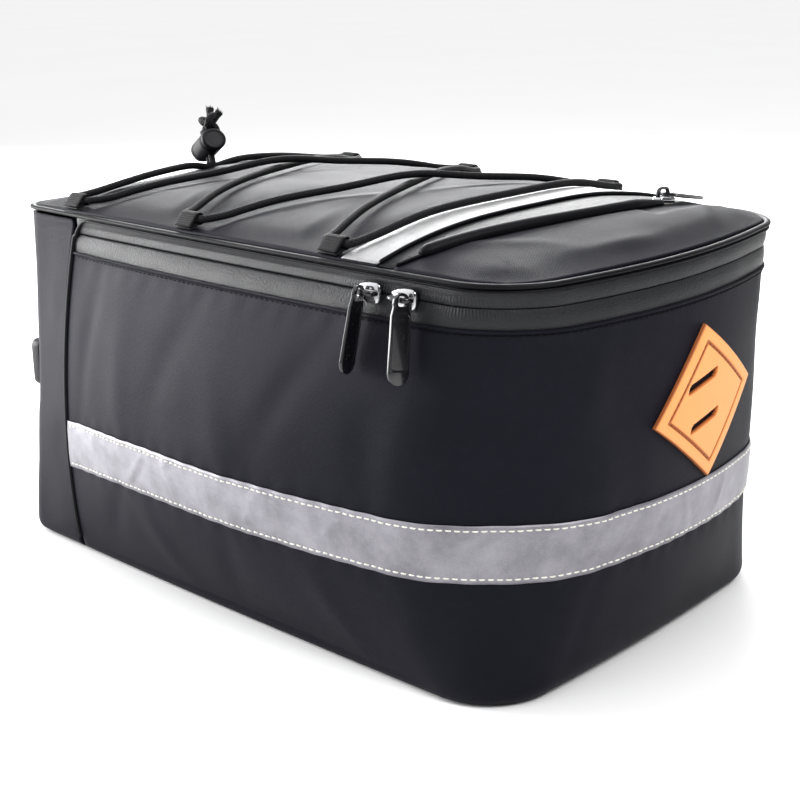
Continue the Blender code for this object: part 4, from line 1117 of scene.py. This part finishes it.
# Elastic cord
# One length of rubber cord in a braided black cover, laced through the six loops in two crossings and closed by the
# lock. It lies on the lid where it crosses it, and the two strands beside the lock hang clear.

LOCK_MIDDLE = Vector((-0.432 * LENGTH, 0.012 * WIDTH, HEIGHT + 21.5 * MM))
LOCK_AXIS = Vector((-0.849, 0.287, -0.440)).normalized()
LOCK_RADIUS, LOCK_STRAND_BOW = 7 * MM, 10 * MM
LOCK_STRAND = ((0.05, 0.5), (0.12, 1.9), (0.22, 2.9), (0.36, 2.5), (0.52, 1.9), (0.70, 1.5), (0.88, 1.1))
IN_LOCK = CORD_RADIUS + 0.15 * MM


def frame_at(origin, along, outward):
    z = outward.normalized()
    x = (along - z * along.dot(z)).normalized()
    return Matrix.Translation(origin) @ Matrix((x, z.cross(x), z)).transposed().to_4x4()


LOCK = frame_at(LOCK_MIDDLE, LOCK_AXIS, Vector((0, 0, 1)) - LOCK_AXIS * LOCK_AXIS.z)


def loop_pass(side, x, way):
    """Straight through a loop, way being 1 from its front end and -1 from its rear end."""
    middle = loop_middle(side, x)
    return [middle + Vector((way * share * BESIDE, 0, 0)) for share in (-1, -0.5, 0, 0.5, 1)]


def over_lid(strand):
    points = []
    for share in spaced(0.05, 0.95, 22):
        x, y = (a + (b - a) * share for a, b in zip(strand.start, strand.end))
        hump = strand.crosses * (2 * CORD_RADIUS + 0.3 * MM) * math.exp(-(((share - 0.5) / 0.13) ** 2))
        points.append(lid_point(x, y, CORD_RADIUS + 0.6 * MM + strand.rests + hump))
    return points


def beside_lock(side, end_x):
    foot = LOCK @ Vector((side * IN_LOCK, 0, -LOCK_RADIUS - 4.6 * MM))
    points = [foot]
    for share, lift in LOCK_STRAND:
        x = foot.x + (end_x - foot.x) * share + LOCK_STRAND_BOW * (1 - share) * math.sin(math.pi * share)
        points.append(lid_point(x, foot.y + (side * LOOP_Y - foot.y) * share, CORD_RADIUS + (0.6 + lift) * MM))
    return points


def smoothed(points, rounds=2):
    """The same way with its corners cut, again and again."""
    for _ in range(rounds):
        way = [points[0]]
        for a, b in zip(points, points[1:]):
            way += [a.lerp(b, 0.25), a.lerp(b, 0.75)]
        points = way + [points[-1]]
    return points


def cord_route():
    top = LOCK_RADIUS + 0.3 * MM
    route = [LOCK @ Vector((-IN_LOCK, 0, z)) for z in (top + 2 * MM, 0, -top)] + beside_lock(-1, LOOP_X[0] - BESIDE)
    route += loop_pass(-1, LOOP_X[0], 1) + over_lid(STRANDS[0]) + loop_pass(1, LOOP_X[1], 1)
    route += over_lid(STRANDS[1]) + loop_pass(-1, LOOP_X[2], 1) + over_lid(STRANDS[2]) + loop_pass(1, LOOP_X[2], -1)
    route += over_lid(STRANDS[3]) + loop_pass(-1, LOOP_X[1], -1) + over_lid(STRANDS[4]) + loop_pass(1, LOOP_X[0], -1)
    route += list(reversed(beside_lock(1, LOOP_X[0] - BESIDE)))
    return smoothed(route + [LOCK @ Vector((IN_LOCK, 0, z)) for z in (-top, 0, top + 2 * MM)])


def braided_cover():
    """Eight strands plaited round a core: slanted lines that cross, painted paler on the strands' tops and darker in
    the gaps between them as painted highlight and shade.
    """
    finish = Finish("braided_cover", 0.6, Specular_IOR_Level=0.2)
    along, around, _ = finish.cloth()
    one = (along * (2 * math.pi / (1.9 * MM)) + around * 5).sine()
    other = (along * (2 * math.pi / (1.9 * MM)) - around * 5).sine()
    plait = one.most(other)
    fuzz = finish.grain(finish.here(), 900, 3)
    # Painted highlight and shade: the plait's raised strands are coloured paler and the gaps between them darker
    colour = finish.mixed(plait.between(-0.2, 1) * 0.5 + fuzz * 0.4, *YARN)
    return finish.done(colour, 0.5 + 0.25 * fuzz, plait + fuzz * 0.6, 0.18 * MM, 0.6)


BRAID = braided_cover()
put(tube("elastic_cord", cord_route(), 0.96 * CORD_RADIUS, 12), BRAID, "elastic_cord", "bungee_cord")

# Cord lock
# Two moulded plastic parts and a spring. The barrel has a flat closed end and a slot for both strands, and the plunger
# slides in its bore.

LOCK_BACK, LOCK_MOUTH = -12 * MM, 10 * MM
PLUNGER_RADIUS, PLUNGER_TRAVEL = 4.3 * MM, 4 * MM
LOCK_SLOT_LENGTH, LOCK_SLOT_WIDTH = 2 * (2 * CORD_RADIUS + 0.45 * MM), 2 * (CORD_RADIUS + 0.45 * MM)


SAME_PLACE, SHARP = 0.001 * MM, 38


def turned(name, profile, steps=56):
    """A piece turned about its own x from (x, radius) points that start and end on the axis."""
    shape = bmesh.new()
    line = [shape.verts.new((x, radius, 0)) for x, radius in profile]
    for a, b in zip(line, line[1:]):
        shape.edges.new((a, b))
    turning = {"cent": (0, 0, 0), "axis": (1, 0, 0), "angle": 2 * math.pi, "steps": steps, "use_merge": True}
    bmesh.ops.spin(shape, geom=shape.verts[:] + shape.edges[:], **turning)
    bmesh.ops.remove_doubles(shape, verts=shape.verts, dist=SAME_PLACE)
    bmesh.ops.recalc_face_normals(shape, faces=shape.faces)
    return bpy.data.objects.new(name, from_shape(name, shape, SHARP))


def block(size, middle=(0, 0, 0)):
    shape = bmesh.new()
    bmesh.ops.create_cube(shape, size=1)
    bmesh.ops.scale(shape, vec=size, verts=shape.verts)
    bmesh.ops.translate(shape, vec=middle, verts=shape.verts)
    return bpy.data.objects.new("block", from_shape("block", shape))


def softened(obj, width, segments=2, angle=35):
    bevel = obj.modifiers.new("softened", "BEVEL")
    bevel.width, bevel.segments, bevel.angle_limit = width, segments, math.radians(angle)
    bevel.harden_normals = True
    return applied(obj)


def moulded_plastic():
    finish = Finish("moulded_plastic", 0.4, Specular_IOR_Level=0.2)
    place = finish.here()
    grain = finish.grain(place, 1600, 2)
    cloud = finish.grain(place, 140, 4, 0.6)
    colour = finish.mixed(cloud, rgb(0.003, 0.003, 0.005), rgb(0.009, 0.009, 0.012))
    return finish.done(colour, 0.30 + 0.22 * cloud + 0.08 * grain, grain * 0.6 + cloud * 0.4, 0.06 * MM, 0.5)


PLASTIC = moulded_plastic()


def lock_barrel():
    edge = LOCK_RADIUS
    profile = [(LOCK_MOUTH, 0), (LOCK_MOUTH, edge - 1.2 * MM)]
    profile += [(LOCK_MOUTH - 0.4 * MM, edge - 0.5 * MM), (LOCK_MOUTH - 1.2 * MM, edge)]
    for middle in (5.6 * MM, 7.2 * MM, -7.4 * MM, -9.0 * MM):
        profile += [(middle + 0.5 * MM, edge), (middle, edge - 0.45 * MM), (middle - 0.5 * MM, edge)]
    profile += [
        (LOCK_BACK + 1.2 * MM, edge), (LOCK_BACK + 0.4 * MM, edge - 0.4 * MM), (LOCK_BACK, edge - 1.2 * MM),
        (LOCK_BACK, edge - 1.9 * MM), (LOCK_BACK + 0.4 * MM, edge - 2.2 * MM), (LOCK_BACK + 0.4 * MM, 0),
    ]
    barrel = turned("lock_barrel", profile)
    bore = PLUNGER_RADIUS + 0.3 * MM
    start, end = LOCK_MOUTH + 5 * MM, LOCK_BACK + MM
    barrel = combined(barrel, turned("bore", [(start, 0), (start, bore), (end, bore), (end, 0)]))
    slot = block((LOCK_SLOT_LENGTH, LOCK_SLOT_WIDTH, 3 * LOCK_RADIUS))
    return combined(barrel, softened(slot, 1.6 * MM, 4, 80))


def lock_plunger():
    inner, outer = -0.5 * LOCK_SLOT_LENGTH - 1.3 * MM, LOCK_MOUTH + PLUNGER_TRAVEL + 0.8 * MM
    r = PLUNGER_RADIUS
    face = outer - 0.3 * MM
    profile = [(face, 0), (face, r - 1.8 * MM), (outer, r - 1.5 * MM), (face, r - 0.5 * MM)]
    profile += [(outer - 1 * MM, r), (inner, r), (inner, 0)]
    slot = block((LOCK_SLOT_LENGTH + PLUNGER_TRAVEL, LOCK_SLOT_WIDTH, 3 * LOCK_RADIUS), (0.5 * PLUNGER_TRAVEL, 0, 0))
    return combined(turned("lock_plunger", profile, 40), slot)


barrel, plunger = lock_barrel(), lock_plunger()
for vert in barrel.data.vertices:
    if math.hypot(vert.co.y, vert.co.z) > PLUNGER_RADIUS + 0.45 * MM:
        vert.co.z *= 0.88
barrel.matrix_world = plunger.matrix_world = LOCK
put(barrel, PLASTIC, "moulded_plastic", "cord_lock_barrel")
put(plunger, PLASTIC, "moulded_plastic", "cord_lock_plunger", body="plunger")

# Knot
# Both ends of the cord tied together above the lock, with two cut ends that have begun to fray.

KNOT_MIDDLE = LOCK @ Vector((-3.5 * MM, -2.0 * MM, LOCK_RADIUS + 3.0 * MM))
KNOT_SIZE, KNOT_CORD = 2.5 * MM, 1.9 * MM


def in_knot(x, y, z):
    return KNOT_MIDDLE + (LOCK.to_3x3() @ Vector((x, y, z)))


def knot_line(turns=110):
    """A trefoil pulled tight."""
    points = []
    for i in range(turns):
        t = 2 * math.pi * i / turns
        x, y = math.sin(t) + 2 * math.sin(2 * t), math.cos(t) - 2 * math.cos(2 * t)
        depth = KNOT_SIZE * 0.80 * -math.sin(3 * t) * 1.35
        points.append(in_knot(KNOT_SIZE * 0.86 * x, depth, KNOT_SIZE * 0.88 * y + 0.3 * MM))
    return points


put(tube("knot", knot_line(), KNOT_CORD, 12, closed=True), BRAID, "elastic_cord", "cord_knot")
for number, tip in enumerate(((0.5, -2.8, 10.2), (-3.0, -6.5, 6.8)), 1):
    start = Vector((0.3 * tip[0], 0.3 * tip[1], 2.0))
    line = [in_knot(*(start.lerp(Vector(tip), share) * MM)) for share in spaced(0, 1, 10)]
    flare = [1 + 0.22 * eased(i / 10, 0.6, 1) for i in range(11)]
    put(tube(f"cut_end_{number}", line, 1.9 * MM, 12, radii=flare), BRAID, "elastic_cord")
    way = (line[-1] - line[0]).normalized()
    side, up = way.orthogonal().normalized(), way.cross(way.orthogonal()).normalized()
    hairs = bmesh.new()
    for k in range(26):
        angle, reach = 2.4 * k, 0.35 + 1.5 * ((k * 7) % 11) / 11
        spread = side * math.cos(angle) + up * math.sin(angle)
        root = line[-1] + spread * (1.9 * MM * math.sqrt(((k * 5) % 13) / 13))
        tip_at = root + way * (reach * 1.1 * MM) + spread * (0.7 * MM * reach)
        base = [hairs.verts.new(root - way * 0.4 * MM + part * 0.22 * MM) for part in (side, up, -side - up)]
        point = hairs.verts.new(tip_at)
        for a, b in ((0, 1), (1, 2), (2, 0)):
            hairs.faces.new((base[a], base[b], point))
        hairs.faces.new(reversed(base))
    bmesh.ops.recalc_face_normals(hairs, faces=hairs.faces)
    mesh = from_shape(f"frayed_{number}", hairs)
    put(bpy.data.objects.new(mesh.name, mesh), DARK_THREAD, "elastic_cord")

# Zip sliders
# Cast sliders with bright plating: two plates with the coil between them, and a glossy black bail on top that carries
# the pull. The pulls are flat stampings with an eye, a raised rim round the face, and a crescent at the tip.

SLIDER_LENGTH, SLIDER_WIDTH, SLIDER_HEIGHT, SLIDER_GAP = 13 * MM, 9 * MM, 2.6 * MM, 0.4 * MM
BAIL_LENGTH, BAIL_RADIUS, BAIL_RISE = 10.5 * MM, 0.75 * MM, 4.2 * MM
PULL_LENGTH, PULL_WIDTH, PULL_HEAD, PULL_THICKNESS, PULL_HOLE = 37 * MM, 10.4 * MM, 6.8 * MM, 1.6 * MM, 2.05 * MM
LidPull = namedtuple("LidPull", "name body x along lean sway turn")
LID_PULLS = (
    LidPull("front", "front_pull", 0.570, -1 * MM, 14, -1, 12),
    LidPull("rear", "rear_pull", 0.690, 3.2 * MM, 11, 5, -10),
)
POCKET_PULL_TILT = math.radians(4)


def gloss_black():
    """Lacquered metal, with fine scratches in its shine and wear at a few places."""
    finish = Finish("gloss_black", 0.18, Metallic=0.35, Coat_Weight=0.6, Coat_Roughness=0.08)
    place = finish.here()
    rub = finish.grain(place, 260, 5, 0.7)
    scratch = finish.grain(place, 1900, 2)
    colour = finish.mixed(rub.between(0.70, 0.85), rgb(0.006, 0.006, 0.008), rgb(0.030, 0.030, 0.034))
    return finish.done(colour, 0.14 + 0.22 * rub, scratch * 0.4 + rub, 0.02 * MM, 0.3)


GLOSS = gloss_black()


def polished_metal():
    """Bright plating over the casting, a little clouded."""
    finish = Finish("polished_metal", 0.12, Metallic=1.0)
    cloud = finish.grain(finish.here(), 300, 4, 0.6)
    colour = finish.mixed(cloud, rgb(0.42, 0.42, 0.44), rgb(0.62, 0.62, 0.64))
    return finish.done(colour, 0.08 + 0.14 * cloud, cloud, 0.08 * MM, 0.3)


POLISHED = polished_metal()


def flat_piece(name, outlines, thickness, edge=0.0):
    """A flat piece in its own x and y with rounded edges, from closed outlines of which the later ones are holes."""
    curve = bpy.data.curves.new(name, "CURVE")
    curve.dimensions, curve.fill_mode, curve.extrude = "2D", "BOTH", 0.5 * thickness - edge
    curve.bevel_depth, curve.offset, curve.bevel_resolution = edge, -edge, 2
    for points in outlines:
        spline = curve.splines.new("POLY")
        spline.points.add(len(points) - 1)
        for i, (x, y) in enumerate(points):
            spline.points[i].co = (x, y, 0, 1)
        spline.use_cyclic_u = True
    obj = bpy.data.objects.new(name, curve)
    bpy.context.scene.collection.objects.link(obj)
    bpy.context.view_layer.update()
    mesh = bpy.data.meshes.new_from_object(obj.evaluated_get(bpy.context.evaluated_depsgraph_get()))
    bpy.data.objects.remove(obj)
    face_outward(mesh, SAME_PLACE)
    mesh.shade_smooth()
    mesh.set_sharp_from_angle(angle=math.radians(SHARP))
    return bpy.data.objects.new(name, mesh)


def joined(name, *pieces):
    """Several pieces as one mesh."""
    shape = bmesh.new()
    for piece in pieces:
        piece.data.transform(piece.matrix_world)
        shape.from_mesh(piece.data)
    return from_shape(name, shape, SHARP)


def arc(x, y, radius, count, start, end):
    steps = [start + (end - start) * i / (count - 1) for i in range(count)]
    return [(x + radius * math.cos(math.radians(a)), y + radius * math.sin(math.radians(a))) for a in steps]


def rounded(x, y, length, width, radius):
    points = []
    for i, (way_x, way_y) in enumerate(((1, 1), (-1, 1), (-1, -1), (1, -1))):
        at_x, at_y = x + way_x * (0.5 * length - radius), y + way_y * (0.5 * width - radius)
        points += arc(at_x, at_y, radius, 7, 90 * i, 90 * i + 90)
    return points


def slider_body():
    """x along the zip, z outward: two rounded wings, the groove between them, and the post that bears the bail."""
    half, wide, tail = 0.5 * SLIDER_LENGTH, 0.5 * SLIDER_WIDTH, 0.33 * SLIDER_WIDTH
    nose, heel = 2.6 * MM, 1.6 * MM
    around = arc(half - nose, -wide + nose, nose, 7, -90, 0) + arc(half - nose, wide - nose, nose, 7, 0, 90)
    around += [(0.1 * half, wide), (-0.4 * half, 0.88 * wide)]
    around += arc(-half + heel, tail - heel, heel, 5, 90, 180) + arc(-half + heel, -tail + heel, heel, 5, 180, 270)
    around += [(-0.4 * half, -0.88 * wide), (0.1 * half, -wide)]
    plate = flat_piece("plate", [around], SLIDER_HEIGHT, 1.0 * MM)
    for vert in plate.data.vertices:
        crown = max(0, 1 - (vert.co.x / half) ** 2) * max(0, 1 - (vert.co.y / wide) ** 2)
        vert.co.z += 0.5 * SLIDER_HEIGHT + (0.5 * MM * crown if vert.co.z > 0 else 0)
    ridge = flat_piece("ridge", [rounded(0, 0, 0.86 * SLIDER_LENGTH, 2.2 * MM, 1.0 * MM)], 1.6 * MM, 0.5 * MM)
    ridge.matrix_world = Matrix.Translation((0, 0, SLIDER_HEIGHT))
    return joined("slider_body", plate, ridge)


def bail_mesh():
    top, half = SLIDER_HEIGHT + BAIL_RISE, 0.5 * BAIL_LENGTH
    foot, bend = (-half, 0.5 * SLIDER_HEIGHT), (-half, top - 1.8 * MM)
    line = [Vector((x, 0, z)) for x, z in (foot, bend, (-half + 1.6 * MM, top), (0, top + 0.1 * MM))]
    line = smoothed(line + [Vector((-p.x, 0, p.z)) for p in reversed(line[:-1])], 3)
    bail = tube("bail", line, BAIL_RADIUS, 10)
    for vert in bail.data.vertices:
        vert.co.y *= 1.5
    return bail.data


def pull_mesh(eye):
    """A rim all round and along the eye, a thin web sunk between its faces, and a domed tip."""
    half, head = 0.5 * PULL_WIDTH, 0.5 * PULL_HEAD
    shoulder, tip = eye - 1.7 * head, eye - PULL_LENGTH + head + half
    wide_head = 1.22 * head
    around = arc(0, eye + head - wide_head, wide_head, 19, -20, 200) + [(-0.93 * half, shoulder)]
    around += arc(0, tip, half, 25, 180, 360) + [(0.93 * half, shoulder)]
    hole = rounded(0, eye, 2 * PULL_HOLE, 2 * PULL_HOLE, 1.2 * MM)
    panel_half, panel_top, panel_low = half - 1.25 * MM, shoulder + 0.4 * MM, tip + 1.7 * MM
    panel = arc(-panel_half + MM, panel_top - MM, MM, 5, 180, 90) + arc(panel_half - MM, panel_top - MM, MM, 5, 90, 0)
    for share, lower in ((1, 0), (0.5, 0.5), (0, 0.65), (-0.5, 0.5), (-1, 0)):
        panel.append((share * panel_half, panel_low - lower * MM))
    rim = flat_piece("rim", [around, hole, panel], PULL_THICKNESS, 0.32 * MM)
    wider = [(1.06 * x, y + (0.3 * MM if y > panel_low else -0.3 * MM)) for x, y in panel]
    web = flat_piece("web", [wider], PULL_THICKNESS - 0.6 * MM)
    return joined("pull", rim, web)


slider, bail, lid_pull = slider_body(), bail_mesh(), pull_mesh(-0.3 * MM)


def set_slider(name, place, node):
    for label, mesh, material, stands_for in (("slider", slider, POLISHED, (node,)), ("bail", bail, GLOSS, ())):
        obj = bpy.data.objects.new(f"{label}_{name}", mesh.copy())
        obj.matrix_world = place
        put(obj, material, "coated_metal", *stands_for)


zip_share = at_height(ZIP_MIDDLE / HEIGHT)
seam_x = zip_share.seam * LENGTH + SEAM_HALF
for row in LID_PULLS:
    turn = (row.x * 0.5 * LENGTH - seam_x) / (plan_edges(zip_share)[1] - zip_share.corner * WIDTH - seam_x)
    along = wall_point(turn + 0.01, ZIP_MIDDLE) - wall_point(turn - 0.01, ZIP_MIDDLE)
    up = wall_point(turn, HEIGHT) - wall_point(turn, ZIP_SEAM)
    place = frame_at(wall_point(turn, ZIP_MIDDLE, SLIDER_GAP), along, along.cross(up))
    set_slider(row.name, place, f"lid_slider_{row.name}")
    hang = Matrix.Rotation(math.radians(-row.lean), 3, place.col[0].to_3d())
    hang = hang @ Matrix.Rotation(math.radians(row.sway), 3, place.col[2].to_3d())
    down = hang @ Vector((0, 0, -1))
    facing = hang @ (Matrix.Rotation(math.radians(row.turn), 3, "Z") @ place.col[0].to_3d())
    pull = bpy.data.objects.new(f"pull_{row.name}", lid_pull.copy())
    bar = place @ Vector((row.along, 0, SLIDER_HEIGHT + BAIL_RISE))
    pull.matrix_world = frame_at(bar, (-down).cross(facing), facing)
    put(pull, GLOSS, "coated_metal", f"lid_pull_{row.name}", body=row.body)

v = LIP_ENDS[1] + 0.075
x, y = across_lid(LIP, v) - 0.5 * SLIDER_WIDTH, v * 0.5 * WIDTH
along = lid_surface(x, y + MM) - lid_surface(x, y - MM)
place = frame_at(lid_point(x, y, 0.9 * MM), along, lid_point(x, y, MM) - lid_point(x, y))
set_slider("pocket", place, "pocket_slider")
crossbar = 0.25 * (PULL_HEAD - 2 * PULL_HOLE)
hinge = place @ Vector((0.21 * BAIL_LENGTH, 0, SLIDER_HEIGHT + 0.5 * PULL_THICKNESS + 0.6 * MM))
pull = bpy.data.objects.new("pull_pocket", pull_mesh(-PULL_HOLE - crossbar))
laid = place.to_3x3().to_4x4() @ Matrix.Rotation(POCKET_PULL_TILT, 4, "Y") @ Matrix.Rotation(0.5 * math.pi, 4, "Z")
pull.matrix_world = Matrix.Translation(hinge) @ laid
put(pull, GLOSS, "coated_metal", "pocket_pull", body="flat_pull")

# Front strap and buckle
# Webbing across the front face, closed by a side release buckle. The photograph shows the buckle's edge alone, so
# the rest is plain.

STRAP_HALF, STRAP_WALL = 10 * MM, 1.5 * MM
BUCKLE_Y, BUCKLE_WIDTH, BUCKLE_DEPTH, SOCKET_LENGTH, PLUG_LENGTH = -0.40 * WIDTH, 26 * MM, 7.5 * MM, 28 * MM, 16 * MM

strap_line = [wall_point(turn, STRAP_Z, 0.3 * MM + 0.5 * STRAP_WALL) for turn in spaced(8, 9, 60)]
strap = ribbon("webbing_strap", strap_line, Vector((0, 0, 1)), 2 * STRAP_HALF, STRAP_WALL, 14)
put(strap, WEBBING, "webbing", "front_strap")

low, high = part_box("buckle_socket")
buckle_x = 0.5 * (low.x + high.x)
for name, node, start, length, width in (
    ("buckle_shell", "buckle_socket", 0, SOCKET_LENGTH, BUCKLE_WIDTH),
    ("buckle_tongue", "buckle_plug", SOCKET_LENGTH + 0.3 * MM, PLUG_LENGTH, 0.86 * BUCKLE_WIDTH),
):
    frame_piece = [rounded(0, 0, length, width, 4 * MM), rounded(0, 0, 0.5 * length, 0.46 * width, 2 * MM)]
    ring = flat_piece(name, frame_piece, BUCKLE_DEPTH, 1.2 * MM)
    web = flat_piece("web", [rounded(0, 0, 0.6 * length, 0.56 * width, 2 * MM)], 0.6 * BUCKLE_DEPTH)
    shell = bpy.data.objects.new(name, joined(name, ring, web))
    middle = Vector((buckle_x, BUCKLE_Y - 0.5 * SOCKET_LENGTH + start + 0.5 * length, STRAP_Z))
    shell.matrix_world = frame_at(middle, Vector((0, 1, 0)), Vector((-1, 0, 0)))
    put(shell, PLASTIC, "moulded_plastic", node)

# Studio
# A pale floor, soft lights at the left, behind, above and over the rear, and the camera where the photograph was
# taken. A white room fills in what they leave.


def pale_floor():
    shape = bmesh.new()
    bmesh.ops.create_circle(shape, cap_ends=True, segments=96, radius=30)
    mesh = from_shape("floor", shape)
    finish = Finish("floor", 0.9, Specular_IOR_Level=0.0)
    place = finish.here()
    finish.put("Base Color", finish.mixed(finish.grain(place, 3, 2), rgb(0.93, 0.93, 0.93), rgb(0.96, 0.96, 0.96)))
    floor = bpy.data.objects.new("floor", mesh)
    mesh.materials.append(finish.material)
    bpy.context.scene.collection.objects.link(floor)


pale_floor()


def softbox(name, place, aim, width, height, power):
    light = bpy.data.lights.new(name, "AREA")
    light.shape, light.size, light.size_y, light.energy = "RECTANGLE", width, height, power
    obj = bpy.data.objects.new(name, light)
    obj.matrix_world = frame_at(Vector(place), Vector((1, 0.2, 0)), Vector(place) - Vector(aim))
    bpy.context.scene.collection.objects.link(obj)


softbox("side", (-1.05, -0.50, 0.32), (-0.05, 0, 0.08), 0.8, 0.7, 23)
softbox("behind", (-1.1, 1.15, 0.62), (0, 0, 0.18), 1.2, 0.5, 22)
softbox("top", (-0.7, 0.7, 1.0), (0, 0, 0.15), 1.0, 0.8, 5)
softbox("rear", (1.0, -0.10, 1.1), (0.1, 0, 0.1), 0.6, 0.6, 13)


def room(bright_way, bright, dim):
    """A plain white room, brightest to one side."""
    world = bpy.data.worlds.new("room")
    world.use_nodes = True
    nodes, links = world.node_tree.nodes, world.node_tree.links
    way = nodes.new("ShaderNodeTexCoord")
    dot = nodes.new("ShaderNodeVectorMath")
    dot.operation = "DOT_PRODUCT"
    dot.inputs[1].default_value = bright_way.normalized()
    fall = nodes.new("ShaderNodeMapRange")
    fall.interpolation_type = "SMOOTHSTEP"
    for label, value in (("From Min", -0.35), ("From Max", 0.75), ("To Min", dim), ("To Max", bright)):
        fall.inputs[label].default_value = value
    links.new(way.outputs["Generated"], dot.inputs[0])
    links.new(dot.outputs["Value"], fall.inputs["Value"])
    links.new(fall.outputs[0], nodes["Background"].inputs["Strength"])
    nodes["Background"].inputs["Color"].default_value = rgb(1, 1, 1)
    return world


bpy.context.scene.world = room(Vector((-0.85, -0.05, 0.50)), 1.5, 0.06)
bpy.context.scene.view_settings.view_transform = "Standard"

CAMERA_PLACE, CAMERA_LENS = Vector((495.95, -525.42, 304.88)) * MM, 65.80
CAMERA_TURN, CAMERA_DOWN, CAMERA_ROLL = math.radians(42.93), math.radians(17.08), math.radians(-0.82)
level, sine, cosine = math.cos(CAMERA_DOWN), math.sin(CAMERA_ROLL), math.cos(CAMERA_ROLL)
right = Vector((math.cos(CAMERA_TURN), math.sin(CAMERA_TURN), 0))
back = Vector((math.sin(CAMERA_TURN) * level, -math.cos(CAMERA_TURN) * level, math.sin(CAMERA_DOWN)))
up = back.cross(right)
right, up = right * cosine + up * sine, up * cosine - right * sine
camera = bpy.data.objects.new("camera", bpy.data.cameras.new("camera"))
camera.data.lens, camera.data.sensor_width = CAMERA_LENS, 36
camera.matrix_world = Matrix.Translation(CAMERA_PLACE) @ Matrix((right, up, back)).transposed().to_4x4()
bpy.context.scene.collection.objects.link(camera)
bpy.context.scene.camera = camera
